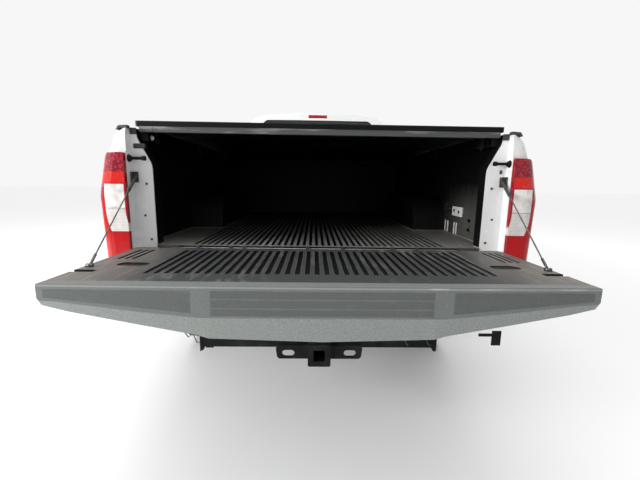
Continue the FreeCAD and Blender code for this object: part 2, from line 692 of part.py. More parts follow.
# Each hinge is an arm on the sill with a pin in the tailgate's knuckle
def gate_hinges():
    y = GATE_PIVOT_Y
    z = GATE_PIVOT_Z
    arm = box(700.0, 745.0, y, JAMB_Y + 1.0, z - 11.0, z + 11.0)
    barrel = tube_x(11.0, 700.0, 745.0, y, z)
    pin = tube_x(7.0, 744.0, 784.0, y, z)
    return [arm, barrel, pin, mirror(arm), mirror(barrel), mirror(pin)]


def tail_lamp_cut():
    grown = tail_lamp_outline(3.0)
    return prism(grown, "x", 865.7, 1100.0)


def bed_liner():
    half = BED_HALF
    low = BED_FLOOR_Z
    y0 = JAMB_Y + 62.0
    y1 = BULKHEAD_Y
    outer = box(-half, half, y0, y1, low, 1428.0)
    inner = box(-half + LINER, half - LINER, y0 - 5.0, y1 - LINER, BED_TOP_Z, 1500.0)
    shell = outer.cut(inner)
    house = wheelhouse_outline()
    cover = inset(house, -LINER)
    right = prism(cover, "x", WHEELHOUSE_HALF - LINER, half - 2.0)
    shell = shell.fuse([right, mirror(right)])
    hole = prism(house, "x", WHEELHOUSE_HALF, half + 20.0)
    shell = shell.cut([hole, mirror(hole)])
    apron = box(-BED_OPENING_HALF + 4.0, BED_OPENING_HALF - 4.0, JAMB_Y + 1.0, y0 + 1.0, low, BED_TOP_Z)
    shell = shell.fuse(apron)
    shell = shell.common(box(-900.0, 900.0, -3000.0, 0.0, low, 1500.0))
    return shell.cut(compound(liner_grooves()))


FLOOR_RIB_PITCH = 31.0
FLOOR_RIBS = 40
FLUTE_PITCH = 86.0


# Grooves between the floor's ribs and flutes in the walls
def liner_grooves():
    cuts = []
    for i in range(FLOOR_RIBS):
        x = (i - (FLOOR_RIBS - 1) / 2) * FLOOR_RIB_PITCH
        cuts.append(box(x - 8.0, x + 8.0, JAMB_Y + 24.0, BULKHEAD_Y - 70.0, BED_TOP_Z - 4.0, BED_TOP_Z + 1.0))
    wall = BED_HALF - LINER
    for i in range(22):
        y = JAMB_Y + 130.0 + FLUTE_PITCH * i
        flute = box(wall - 1.0, wall + 4.5, y, y + FLUTE_PITCH / 2, 1190.0, 1400.0)
        cuts += [flute, mirror(flute)]
    for i in range(17):
        x = (i - 8) * FLUTE_PITCH
        front = BULKHEAD_Y - LINER
        cuts.append(box(x - 21.0, x + 21.0, front - 1.0, front + 4.5, 990.0, 1400.0))
    return cuts


# Tailgate, drawn open as in the photograph
GATE_IN_Z = GATE_PIVOT_Z + 25.0
GATE_OUT_Z = GATE_IN_Z - GATE_THICKNESS
GATE_NEAR_Y = GATE_PIVOT_Y + 5.0
GATE_FAR_Y = GATE_PIVOT_Y - GATE_HEIGHT


def gate_shell():
    corners = [(-GATE_HALF, GATE_NEAR_Y, 30.0), (GATE_HALF, GATE_NEAR_Y, 30.0)]
    corners += [(GATE_HALF, GATE_FAR_Y + GATE_CAP, 20.0), (-GATE_HALF, GATE_FAR_Y + GATE_CAP, 20.0)]
    slab = prism(corners, "z", GATE_OUT_Z, GATE_IN_Z - 7.0)
    y = GATE_PIVOT_Y
    z = GATE_PIVOT_Z
    knuckle_ring = tube_x(14.0, 751.0, 792.0, y, z)
    hole = tube_x(7.05, 740.0, 788.0, y, z)
    slab = slab.cut([gate_notch(1), gate_notch(-1)]).fuse([knuckle_ring, mirror(knuckle_ring)])
    return slab.cut([hole, mirror(hole), latch_slot(1), latch_slot(-1)]).removeSplitter()


GATE_RIB_PITCH = 34.0
GATE_RIBS = 36
GROOVE = 3.5


def gate_liner():
    half = GATE_HALF - 6.0
    far_y = GATE_FAR_Y + GATE_CAP + 0.5
    near_y = GATE_NEAR_Y - 8.0
    corners = [(-half, near_y, 24.0), (half, near_y, 24.0), (half, far_y, 6.0), (-half, far_y, 6.0)]
    sheet = prism(corners, "z", GATE_IN_Z - 7.0, GATE_IN_Z)
    low = GATE_IN_Z - GROOVE
    cuts = []
    for i in range(GATE_RIBS):
        x = (i - (GATE_RIBS - 1) / 2) * GATE_RIB_PITCH
        cuts.append(box(x - 9.0, x + 9.0, TAIL_Y - 415.0, TAIL_Y - 18.0, low, GATE_IN_Z + 1.0))
    for side in (-1, 1):
        for i in range(3):
            x = side * (746.0 + 28.0 * i)
            cuts.append(box(x - 7.0, x + 7.0, TAIL_Y - 209.0, TAIL_Y - 20.0, low, GATE_IN_Z + 1.0))
        oval = [(side * 642.0, TAIL_Y - 318.0, 26.0), (side * 755.0, TAIL_Y - 318.0, 26.0)]
        oval += [(side * 755.0, TAIL_Y - 263.0, 26.0), (side * 642.0, TAIL_Y - 263.0, 26.0)]
        cuts.append(prism(oval, "z", low, GATE_IN_Z + 1.0))
        cuts += [gate_notch(side), latch_slot(side)]
    return sheet.cut(compound(cuts))


# Where the latch in the tailgate's side edge takes the striker pin of the jamb
STRIKER_Y = TAIL_Y + 45.0
STRIKER_Z = 1345.0


def latch_slot(side):
    y = GATE_PIVOT_Y - (STRIKER_Z - GATE_PIVOT_Z)
    z = GATE_PIVOT_Z + (STRIKER_Y - GATE_PIVOT_Y)
    slot = box(776.0, GATE_HALF + 5.0, y - 15.0, y + 15.0, z - 15.0, GATE_IN_Z + 1.0)
    return slot if side > 0 else mirror(slot)


# Room in the tailgate's edge for the hinge arm
def gate_notch(side):
    y = GATE_PIVOT_Y
    z = GATE_PIVOT_Z
    notch = box(694.0, 751.0, y - 17.0, y + 20.0, z - 17.0, z + 40.0)
    return notch if side > 0 else mirror(notch)


# Height of the lip's lower edge and of its break line, going out from the middle
CAP_STATIONS = ((0.0, 752.0, 838.0), (355.0, 762.0, 839.0), (390.0, 773.0, 841.0))
CAP_STATIONS += ((580.0, 808.0, 858.0), (780.0, 846.0, 882.0), (GATE_HALF, 866.0, 894.0))
CAP_LEAN = 24.0


def cap_crown(x):
    return GATE_FAR_Y - CAP_CROWN * (1.0 - (x / GATE_HALF) ** 2)


# The lip leans forward below its break line
def cap_lean():
    wires = []
    for x, low, line in CAP_STATIONS:
        y = cap_crown(x)
        far = y - 40.0
        corners = [(far, low - 12.0), (y + CAP_LEAN, low - 12.0), (y, line), (far, line)]
        past_end = 4.0 if x == GATE_HALF else 0.0
        wires.append(wire(corners, "x", x + past_end))
    half = Part.makeLoft(wires, True, True)
    return [half, mirror(half)]


def gate_cap():
    right = [(x, low, 0) for x, low, line in CAP_STATIONS]
    left = [(-x, low, 0) for x, low, line in reversed(CAP_STATIONS[1:])]
    top = [(GATE_HALF, GATE_IN_Z, 6.0), (-GATE_HALF, GATE_IN_Z, 6.0)]
    body = prism(right + top + left, "y", GATE_FAR_Y - CAP_CROWN - 2.0, GATE_FAR_Y + GATE_CAP)
    ends = V(GATE_HALF + 2.0, GATE_FAR_Y, 600)
    bow = Part.Arc(V(-ends.x, ends.y, 600), V(0, GATE_FAR_Y - CAP_CROWN, 600), ends).toShape()
    corners = [ends, ends + V(0, 200, 0), V(-ends.x, ends.y + 200, 600), V(-ends.x, ends.y, 600)]
    sides = [Part.LineSegment(corners[i], corners[i + 1]).toShape() for i in range(3)]
    body = body.common(Part.Face(Part.Wire([bow] + sides)).extrude(V(0, 0, 500)))
    return body.cut(cap_lean())


def gate_cables():
    anchor = V(846.0, JAMB_Y - 9.3, 1268.0)
    low = V(828.0, TAIL_Y - 338.0, GATE_IN_Z + 4.9)
    line = low - anchor
    cable = Part.makeCylinder(3.0, line.Length, anchor, line)
    upper = Part.makeCylinder(6.0, 45.0, anchor, line)
    eye = tube_x(9.0, anchor.x - 5.0, anchor.x + 12.0, anchor.y, anchor.z)
    lower = Part.makeCylinder(6.0, 35.0, low - line.normalize() * 35.0, line)
    return pair(fuse([cable, upper, eye, lower]))


# Three-panel folding cover with its side rails
COVER_Z = BED_RAIL_Z + 15.0
COVER_BACK_Y = TAIL_Y + 72.0
COVER_FRONT_Y = BED_FRONT_Y - 20.0
COVER_SPLIT_B = COVER_BACK_Y + 645.0
COVER_SPLIT_A = (COVER_FRONT_Y + 8.0 + COVER_SPLIT_B) / 2
COVER_TOP = COVER_Z + COVER_THICKNESS
COVER_RAIL_Z = COVER_Z - 6.0
COVER_HINGE_A = COVER_Z + 50.0
COVER_HINGE_B = COVER_TOP + 8.0


def cover_panel(y0, y1):
    return prism(rectangle(-COVER_HALF, COVER_HALF, y0, y1, 14.0), "z", COVER_Z, COVER_TOP)


# One half of a cover hinge, on the side of the split that way points to
def cover_lug(x, y, z, way, radius):
    foot = [(y + way * 34.0, COVER_TOP - 2.0), (y + way * 7.0, COVER_TOP - 2.0)]
    foot += [(y, z - radius), (y, z + radius), (y + way * 30.0, COVER_TOP + 5.0)]
    lug = prism(foot, "x", x, x + 40.0)
    return lug.fuse(tube_x(radius, x, x + 40.0, y, z))


def cover_front():
    panel = cover_panel(COVER_SPLIT_A + 4.0, COVER_FRONT_Y)
    lugs = []
    for x in (-520.0, 480.0):
        lugs.append(cover_lug(x, COVER_SPLIT_A, COVER_HINGE_A, 1, 8.0))
        lugs.append(tube_x(3.0, x + 30.0, x + 78.0, COVER_SPLIT_A, COVER_HINGE_A))
    pad = box(802.0, 840.0, COVER_SPLIT_A + 10.0, COVER_FRONT_Y - 20.0, COVER_RAIL_Z, COVER_Z)
    return fuse([panel, pad, mirror(pad)] + lugs)


def cover_rails():
    return pair(box(798.0, 842.0, COVER_BACK_Y + 40.0, COVER_FRONT_Y - 20.0, BED_RAIL_Z, COVER_RAIL_Z))


def cover_middle():
    panel = cover_panel(COVER_SPLIT_B + 4.0, COVER_SPLIT_A - 4.0)
    lugs = []
    holes = []
    for x in (-520.0, 480.0):
        lugs.append(cover_lug(x + 40.3, COVER_SPLIT_A, COVER_HINGE_A, -1, 8.0))
        holes.append(tube_x(3.05, x + 36.0, x + 84.0, COVER_SPLIT_A, COVER_HINGE_A))
        lugs.append(cover_lug(x, COVER_SPLIT_B, COVER_HINGE_B, 1, 5.0))
    body = fuse([panel] + lugs).cut(holes)
    pins = [tube_x(2.5, x + 30.0, x + 78.0, COVER_SPLIT_B, COVER_HINGE_B) for x in (-520.0, 480.0)]
    return fuse([body] + pins)


def cover_rear():
    panel = cover_panel(COVER_BACK_Y, COVER_SPLIT_B - 4.0)
    trim = box(-764.0, 764.0, COVER_BACK_Y + 4.0, COVER_BACK_Y + 30.0, COVER_Z - 26.0, COVER_Z)
    lugs = [cover_lug(x + 40.3, COVER_SPLIT_B, COVER_HINGE_B, -1, 5.0) for x in (-520.0, 480.0)]
    holes = [tube_x(2.55, x + 36.0, x + 84.0, COVER_SPLIT_B, COVER_HINGE_B) for x in (-520.0, 480.0)]
    return fuse([panel, trim] + lugs).cut(holes)


# Frame and running gear
def frame_rail():
    top = [(TAIL_Y + 92.0, 800.0), (-2300.0, 800.0), (-2140.0, 830.0), (-1250.0, 830.0), (-1020.0, 680.0)]
    top += [(1500.0, 664.0), (1820.0, 690.0), (2060.0, 745.0)]
    top += [(2780.0, 745.0), (2940.0, 690.0), (3180.0, 690.0)]
    low = [(y, z - 170.0) for y, z in reversed(top)]
    return prism(top + low, "x", 395.0, 470.0)


def truck_frame():
    rail = frame_rail()
    parts = [rail, mirror(rail)]
    for y, z in ((TAIL_Y + 190.0, 720.0), (-2230.0, 720.0), (-1120.0, 690.0), (-700.0, 592.0)):
        parts.append(box(-400.0, 400.0, y - 35.0, y + 35.0, z - 60.0, z + 60.0))
    parts.append(box(-400.0, 400.0, 365.0, 435.0, 602.0, 658.0))
    parts.append(box(-400.0, 400.0, 1415.0, 1485.0, 500.0, 550.0))
    parts.append(box(-400.0, 400.0, 3080.0, 3150.0, 540.0, 660.0))
    parts += [box(s * 433.0 - 60.0, s * 433.0 + 60.0, 3150.0, 3240.0, 560.0, 700.0) for s in (-1, 1)]
    for y in (-480.0, 300.0, 1500.0):
        for s in (-1, 1):
            parts.append(Part.makeCylinder(45.0, 60.0, V(s * 500.0, y, 630.0)))
            parts.append(box(s * 500.0 - 60.0, s * 500.0 + 60.0, y - 45.0, y + 45.0, 600.0, 635.0))
    for y in SILL_STATIONS:
        for s in (-1, 1):
            parts.append(box(s * 432.5 - 37.5, s * 432.5 + 37.5, y - 32.0, y + 32.0, 640.0, SILL_Z))
    return fuse(parts)


HITCH_Z = 487.0
SHANK_HALF = 25.7


# A slot for a safety chain's hook in the plate beside the receiver
def chain_slot(side, y):
    x = side * 140.0
    low = HITCH_Z - 20.0
    high = HITCH_Z + 12.0
    return prism(rectangle(x - 28.0, x + 28.0, low, high, 15.0), "y", y, y + 60.0)


def hitch_arm(side):
    back = TAIL_Y - 20.0
    outline = [(back, HITCH_Z), (TAIL_Y + 70.0, HITCH_Z), (TAIL_Y + 300.0, 650.0), (TAIL_Y + 300.0, 790.0)]
    outline += [(TAIL_Y + 95.0, 790.0), (TAIL_Y + 95.0, 645.0), (back, 556.0)]
    arm = prism(outline, "x", 470.0, 514.0)
    return arm if side > 0 else mirror(arm)


def hitch_end(side):
    outline = [(TAIL_Y - 50.0, 462.0, 14.0), (TAIL_Y + 30.0, 470.0, 14.0)]
    outline += [(TAIL_Y + 30.0, 562.0), (TAIL_Y - 50.0, 562.0)]
    end = prism(outline, "x", 544.0, 554.0)
    return end if side > 0 else mirror(end)


def tow_receiver():
    z = HITCH_Z
    y0 = TAIL_Y - 130.0
    outer = box(-38.0, 38.0, y0, TAIL_Y + 210.0, z - 38.0, z + 38.0)
    collar = prism(rectangle(-51.0, 51.0, z - 51.0, z + 51.0, 8.0), "y", y0 - 2.0, y0 + 26.0)
    bore = box(-SHANK_HALF, SHANK_HALF, y0 - 10.0, TAIL_Y + 215.0, z - SHANK_HALF, z + SHANK_HALF)
    outline = [(-190.0, z - 30.0, 16.0), (190.0, z - 30.0, 16.0)]
    outline += [(198.0, z + 34.0, 16.0), (-198.0, z + 34.0, 16.0)]
    plate = prism(outline, "y", y0 + 30.0, y0 + 42.0)
    beam = box(-545.0, 545.0, TAIL_Y - 48.0, TAIL_Y + 25.0, z, 560.0)
    gusset = box(-90.0, 90.0, y0 + 90.0, TAIL_Y + 20.0, z - 20.0, z + 38.0)
    pin_hole = tube_x(8.15, -60.0, 60.0, y0 + 60.0, z)
    ends = [piece(side) for side in (-1, 1) for piece in (hitch_arm, hitch_end)]
    body = fuse([outer, collar, plate, beam, gusset] + ends)
    return body.cut([bore, pin_hole, chain_slot(-1, y0), chain_slot(1, y0)])


def turned(profile):
    points = [V(x, 0, z) for x, z in profile]
    face = Part.Face(Part.makePolygon(points + [points[0]]))
    return face.revolve(V(0, 0, 0), V(1, 0, 0), 360)


# An axle tube that swells into the housing of its gears
def axle_beam(half, tube, middle, swell):
    shares = ((1.0, 0.0), (0.86, 0.5), (0.5, 0.87), (0.0, 1.0), (-0.5, 0.87), (-0.86, 0.5), (-1.0, 0.0))
    profile = [(half, 0.0), (half, tube)]
    profile += [(middle + a * swell * 1.15, tube + b * (swell - tube)) for a, b in shares]
    profile += [(-half, tube), (-half, 0.0)]
    return turned(profile)


AXLE_STUB = 40.0


def rear_axle():
    beam = axle_beam(700.0, 48.0, 0.0, 165.0)
    beam.translate(V(0, REAR_AXLE_Y, TYRE_R))
    nose = Part.makeCylinder(70.0, 270.0, V(0, REAR_AXLE_Y, TYRE_R + 10.0), V(0, 1, 0.06))
    brake = tube_x(182.0, 750.0, 784.0, REAR_AXLE_Y, TYRE_R)
    hub = tube_x(80.0, 680.0, 846.0, REAR_AXLE_Y, TYRE_R)
    stub = tube_x(AXLE_STUB, 840.0, REAR_TRACK / 2 + 69.0, REAR_AXLE_Y, TYRE_R)
    right = fuse([brake, hub, stub])
    return fuse([beam, nose, right, mirror(right)])


def leaf_springs():
    front_y = REAR_AXLE_Y + 700.0
    back_y = REAR_AXLE_Y - 760.0
    outer = Part.Arc(V(475, back_y, 640), V(475, REAR_AXLE_Y, 480), V(475, front_y, 590)).toShape()
    inner = Part.Arc(V(475, front_y, 612), V(475, REAR_AXLE_Y, 530), V(475, back_y, 662)).toShape()
    front_end = Part.LineSegment(V(475, front_y, 590), V(475, front_y, 612)).toShape()
    back_end = Part.LineSegment(V(475, back_y, 662), V(475, back_y, 640)).toShape()
    edges = [outer, front_end, inner, back_end]
    pack = Part.Face(Part.Wire(edges)).extrude(V(75, 0, 0))
    eyes = [tube_x(34.0, 470.0, 553.0, front_y, 604.0), tube_x(34.0, 472.0, 553.0, back_y, 650.0)]
    shackle = box(470.0, 551.0, back_y - 30.0, back_y + 30.0, 650.0, 780.0)
    clamp = box(471.0, 559.0, REAR_AXLE_Y - 75.0, REAR_AXLE_Y + 75.0, TYRE_R + 48.0, 552.0)
    damper = Part.makeCylinder(25.0, 400.0, V(578, REAR_AXLE_Y - 60.0, 480), V(-0.0, -0.25, 1))
    return pair(fuse([pack, shackle, clamp, damper.common(box(400, 640, -3000, 0, 300, 880))] + eyes))


FORK_Z = 120.0
KINGPIN_R = 14.0


def front_axle():
    y = FRONT_AXLE_Y
    z = TYRE_R
    beam = axle_beam(680.0, 42.0, -250.0, 140.0)
    beam.translate(V(0, y, z))
    yoke = box(660.0, 694.0, y - 40.0, y + 40.0, z - 150.0, z + 150.0)
    forks = [box(690.0, 768.0, y - 32.0, y + 32.0, z + FORK_Z, z + 150.0)]
    forks.append(box(690.0, 768.0, y - 32.0, y + 32.0, z - 150.0, z - FORK_Z))
    pin_hole = Part.makeCylinder(KINGPIN_R + 0.05, 400.0, V(KINGPIN_X, y, z - 200.0))
    end = fuse([yoke] + forks).cut(pin_hole)
    outline = [(y - 20.0, 350.0), (y - 860.0, 436.0), (y - 900.0, 436.0)]
    outline += [(y - 900.0, 490.0), (y + 20.0, 400.0)]
    arm = prism(outline, "x", 420.0, 460.0)
    hanger = box(418.0, 462.0, y - 900.0, y - 840.0, 480.0, 494.0)
    parts = [end, arm, hanger]
    return fuse([beam] + parts + [mirror(part) for part in parts])


def coil_springs():
    edges = []
    low = TYRE_R + 42.0
    turns = 6
    pitch = 290.0 / turns
    points = [V(0, 0, low)]
    for i in range(turns):
        z = low + pitch * i
        points += [V(54.0, 0, z), V(78.0, 0, z + pitch * 0.3)]
        points += [V(78.0, 0, z + pitch * 0.55), V(54.0, 0, z + pitch * 0.85)]
    points += [V(54.0, 0, low + 290.0), V(0, 0, low + 290.0)]
    profile = Part.Face(Part.makePolygon(points + [points[0]]))
    spring = profile.revolve(V(0, 0, 0), V(0, 0, 1), 360)
    right = spring.copy()
    right.translate(V(560.0, FRONT_AXLE_Y, 0))
    tower = box(470.0, 640.0, FRONT_AXLE_Y - 90.0, FRONT_AXLE_Y + 90.0, low + 290.0, low + 330.0)
    return pair(fuse([right, tower]))


def knuckle():
    y = FRONT_AXLE_Y
    z = TYRE_R
    joint = box(KINGPIN_X - 22.0, KINGPIN_X + 42.0, y - 40.0, y + 40.0, z - FORK_Z + 5.0, z + FORK_Z - 5.0)
    pin = Part.makeCylinder(KINGPIN_R, 2 * FORK_Z + 56.0, V(KINGPIN_X, y, z - FORK_Z - 28.0))
    hub = tube_x(76.0, KINGPIN_X + 20.0, KINGPIN_X + 122.0, y, z)
    stub = tube_x(AXLE_STUB, KINGPIN_X + 100.0, FRONT_TRACK / 2 + 69.0, y, z)
    disc = tube_x(184.0, KINGPIN_X + 52.0, KINGPIN_X + 86.0, y, z)
    caliper = box(KINGPIN_X + 30.0, KINGPIN_X + 110.0, y - 188.0, y - 110.0, z - 60.0, z + 110.0)
    body = fuse([joint, hub, disc, caliper, stub])
    return fuse([body.common(tube_x(192.0, 600.0, 1000.0, y, z)), pin])


def tyre_shape():
    half = TYRE_WIDTH / 2
    wall = [(-half + 30.0, 238.0), (-half, 300.0), (-half + 4.0, 370.0)]
    wall += [(-half + 24.0, 404.0), (-half + 60.0, 413.0)]
    far_wall = [(-x, z) for x, z in reversed(wall)]
    bead = [(half - 36.0, 226.2), (-half + 36.0, 226.2)]
    return turned(wall + [(0.0, TYRE_R)] + far_wall + bead)


def rim_shape():
    barrel = [(-118.0, 236.0), (-118.0, 214.0), (-90.0, 203.0), (90.0, 203.0), (118.0, 214.0)]
    barrel += [(118.0, 236.0), (108.0, 236.0), (108.0, 226.0), (-108.0, 226.0), (-108.0, 236.0)]
    disc = [(52.0, 0.0), (86.0, 0.0), (86.0, 60.0), (64.0, 100.0), (72.0, 190.0)]
    disc += [(72.0, 208.0), (44.0, 208.0), (36.0, 100.0), (52.0, 60.0)]
    holes = [tube_x(AXLE_STUB + 0.05, 0.0, 70.0, 0.0, 0.0)]
    for i in range(8):
        hole = Part.makeCylinder(27.0, 200.0, V(-20, 158.0, 0), V(1, 0, 0))
        hole.rotate(V(0, 0, 0), V(1, 0, 0), 45.0 * i + 22.5)
        holes.append(hole)
    return fuse([turned(barrel), turned(disc).cut(holes)])


def wheel_shapes(x, y, side):
    shapes = []
    for shape in (tyre_shape(), rim_shape()):
        if side < 0:
            shape = mirror(shape)
        shape.translate(V(side * x, y, TYRE_R))
        shapes.append(shape)
    return shapes


# Driveline, tank and the heavy block in front
def engine():
    block = box(-300.0, 300.0, 1960.0, 2860.0, 700.0, 1270.0)
    gearbox = box(-170.0, 170.0, 1250.0, 1970.0, 560.0, 685.0)
    bell = box(-170.0, 170.0, 1804.0, 1970.0, 560.0, 900.0)
    transfer = box(-250.0, -165.0, 1500.0, 1600.0, 490.0, 600.0)
    return fuse([block, gearbox, bell, transfer, box(-395.0, 395.0, 2360.0, 2440.0, 702.0, 740.0)])


def propshafts():
    start = V(0, 1250.0, 600.0)
    end = V(0, REAR_AXLE_Y + 250.0, TYRE_R + 25.0)
    rear = Part.makeCylinder(45.0, (end - start).Length, start, end - start)
    front_start = V(-208, 1600.0, 545.0)
    front_end = V(-250, FRONT_AXLE_Y - 136.0, TYRE_R + 10.0)
    front = Part.makeCylinder(30.0, (front_end - front_start).Length, front_start, front_end - front_start)
    return compound([rear.cut([engine(), rear_axle()]), front.cut([engine(), front_axle()])])


def pipe(points, radius):
    parts = []
    for start, end in zip(points[:-1], points[1:]):
        parts.append(Part.makeCylinder(radius, (end - start).Length, start, end - start))
    parts += [Part.makeSphere(radius, spot) for spot in points[1:-1]]
    return fuse(parts)


def exhaust():
    points = [V(215, 1700, 620), V(215, 1700, 470), V(250, 1440, 455), V(590, 1400, 455), V(640, 1300, 500)]
    points += [V(640, -1100, 500), V(640, -1420, 640)]
    points += [V(640, -1900, 640), V(640, -2200, 560), V(860, -2420, 545)]
    muffler = Part.makeCylinder(88.0, 650.0, V(640, -300, 500), V(0, 1, 0))
    hangers = [box(470.0, 640.0, y - 6.0, y + 6.0, 515.0, 560.0) for y in (-800.0, 900.0)]
    return fuse([pipe(points, 32.0), muffler] + hangers)


def fuel_tank():
    corners = [(-815.0, 440.0, 40.0), (-570.0, 440.0, 40.0), (-570.0, 660.0, 40.0), (-815.0, 660.0, 40.0)]
    straps = [box(-800.0, -600.0, y - 20.0, y + 20.0, 650.0, 690.0) for y in (-150.0, 650.0)]
    return fuse([prism(corners, "y", -400.0, 900.0)] + straps)


def radiator():
    core = box(-400.0, 400.0, 3040.0, 3110.0, 700.0, 1240.0)
    support = box(-640.0, 640.0, 3040.0, 3100.0, 1240.0, 1275.0)
    foot = box(-640.0, 640.0, 3060.0, 3100.0, 690.0, 740.0)
    posts = [box(s * 620.0 - 30.0, s * 620.0 + 30.0, 3050.0, 3100.0, 690.0, 1270.0) for s in (-1, 1)]
    mounts = [box(s * 433.0 - 40.0, s * 433.0 + 40.0, 3060.0, 3100.0, 690.0, 745.0) for s in (-1, 1)]
    return fuse([core, support, foot] + posts + mounts)


# Cab furniture
def dashboard(volumes):
    profile = [(1560.0, 820.0, 30.0), (1690.0, 820.0, 20.0), (1760.0, 1330.0, 20.0), (1690.0, 1395.0, 30.0)]
    profile += [(1420.0, 1330.0, 60.0), (1380.0, 1180.0, 40.0), (1520.0, 1020.0, 60.0)]
    body = prism(profile, "x", -800.0, 800.0)
    console = box(-160.0, 160.0, 760.0, 1560.0, 715.0, 1010.0)
    return fuse([body, console]).common(volumes["inside"])


def seat(x, y, width):
    cushion = [(y - 260.0, 860.0, 40.0), (y + 260.0, 860.0, 40.0)]
    cushion += [(y + 280.0, 1040.0, 60.0), (y - 260.0, 1000.0, 40.0)]
    back = [(y - 300.0, 900.0, 40.0), (y - 150.0, 900.0, 40.0)]
    back += [(y - 230.0, 1560.0, 50.0), (y - 370.0, 1560.0, 50.0)]
    return [prism(outline, "x", x - width / 2, x + width / 2) for outline in (cushion, back)]


def headrest(x, y):
    pad = box(x - 130.0, x + 130.0, y - 360.0, y - 260.0, 1590.0, 1760.0)
    post = box(x - 40.0, x + 40.0, y - 330.0, y - 290.0, 1540.0, 1600.0)
    return [pad, post]


def front_seats():
    y = 1010.0
    base = box(200.0, 660.0, y - 230.0, y + 230.0, 715.0, 870.0)
    return pair(fuse(seat(430.0, y, 520.0) + headrest(430.0, y) + [base]))


def rear_seat():
    y = -80.0
    parts = seat(0.0, y, 1440.0)
    for x in (-480.0, 0.0, 480.0):
        parts += headrest(x, y)
    parts.append(box(-680.0, 680.0, y - 220.0, y + 200.0, 715.0, 870.0))
    return fuse(parts)


def steering_wheel(dash):
    ring = Part.makeTorus(190.0, 15.0)
    hub = Part.makeCylinder(60.0, 40.0, V(0, 0, -30))
    spokes = [box(-190.0, 190.0, -18.0, 18.0, -12.0, 8.0), box(-18.0, 18.0, -190.0, 0.0, -12.0, 8.0)]
    column = Part.makeCylinder(34.0, 250.0, V(0, 0, -260))
    wheel = fuse([ring, hub, column] + spokes)
    wheel.rotate(V(0, 0, 0), V(1, 0, 0), 65.0)
    wheel.translate(V(-430.0, 1290.0, 1240.0))
    return wheel.cut(dash)


def running_boards():
    tread = [(900.0, 412.0, 12.0), (1010.0, 412.0, 18.0), (1010.0, 448.0, 12.0), (900.0, 448.0, 8.0)]
    board = prism(tread, "y", DOOR_REAR_Y - 60.0, DOOR_FRONT_Y + 40.0)
    hangers = [box(852.0, 935.0, y - 25.0, y + 25.0, 430.0, FLOOR_PAN_Z) for y in (-380.0, 530.0, 1500.0)]
    return pair(fuse([board] + hangers))


def main():
    os.makedirs("parts", exist_ok=True)
    volumes = cab_volumes()
    save("cab_body", cab_body(volumes))
    save("cab_glass", cab_glass(volumes))
    doors = {
        "front_door": front_door(volumes),
        "rear_door": rear_door(volumes),
        "front_door_glass": window_pane(volumes, front_window_outline()),
        "rear_door_glass": window_pane(volumes, rear_window_outline()),
        "mirror": door_mirror(volumes),
        "mirror_glass": mirror_glass(),
    }
    for name, shape in doors.items():
        save(name + "_right", shape)
        save(name + "_left", mirror(shape))
    save("front_wings", front_wings(volumes))
    save("hood", hood())
    save("headlamps", headlamps())
    save("grille", grille())
    save("front_bumper", front_bumper())
    side = bed_side()
    save("bed_side_right", side)
    save("bed_side_left", mirror(side))
    houses = wheelhouses(side)
    save("wheelhouses", houses)
    save("bed_floor", bed_floor(side, houses))
    save("bed_liner", bed_liner())
    save("tail_lamps", compound([pair(tail_lamp()), stop_lamp(volumes)]))
    save("tailgate", gate_shell())
    save("tailgate_liner", gate_liner())
    save("tailgate_cap", gate_cap())
    save("tailgate_cables", gate_cables())
    save("cover_rails", cover_rails())
    save("cover_front", cover_front())
    save("cover_middle", cover_middle())
    save("cover_rear", cover_rear())
    save("frame", truck_frame())
    save("tow_receiver", tow_receiver())
    save("rear_axle", rear_axle())
    save("leaf_springs", leaf_springs())
    save("front_axle", front_axle())
    save("coil_springs", coil_springs())
    save("knuckle_right", knuckle())
    save("knuckle_left", mirror(knuckle()))
    for end, x, y in (("front", FRONT_TRACK / 2, FRONT_AXLE_Y), ("rear", REAR_TRACK / 2, REAR_AXLE_Y)):
        for word, side in (("right", 1), ("left", -1)):
            tyre, rim = wheel_shapes(x, y, side)
            save("tyre_%s_%s" % (end, word), tyre)
            save("rim_%s_%s" % (end, word), rim)
    save("engine", engine())
    save("propshafts", propshafts())
    save("exhaust", exhaust())
    save("fuel_tank", fuel_tank())
    save("radiator", radiator())
    dash = dashboard(volumes)
    save("dashboard", dash)
    save("front_seats", front_seats())
    save("rear_seat", rear_seat())
    save("steering_wheel", steering_wheel(dash))
    save("running_boards", running_boards())


if __name__ == "__main__":
    main()
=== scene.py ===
import math

import bmesh
import bpy
from mathutils import Matrix, Vector


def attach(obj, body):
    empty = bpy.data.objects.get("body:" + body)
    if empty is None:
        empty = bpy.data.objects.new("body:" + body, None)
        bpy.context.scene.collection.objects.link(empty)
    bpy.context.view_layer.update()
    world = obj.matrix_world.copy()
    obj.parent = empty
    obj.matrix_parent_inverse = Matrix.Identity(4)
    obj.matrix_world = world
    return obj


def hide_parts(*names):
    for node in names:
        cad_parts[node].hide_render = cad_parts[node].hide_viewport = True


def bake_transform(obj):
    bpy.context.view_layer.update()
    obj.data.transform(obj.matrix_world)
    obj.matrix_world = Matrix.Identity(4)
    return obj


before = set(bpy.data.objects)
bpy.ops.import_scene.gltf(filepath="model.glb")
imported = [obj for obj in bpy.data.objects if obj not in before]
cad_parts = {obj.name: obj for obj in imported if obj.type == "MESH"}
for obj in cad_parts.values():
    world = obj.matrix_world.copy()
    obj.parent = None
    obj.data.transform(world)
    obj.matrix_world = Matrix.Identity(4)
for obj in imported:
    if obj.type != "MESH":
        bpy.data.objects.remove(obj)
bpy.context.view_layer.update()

scene = bpy.context.scene

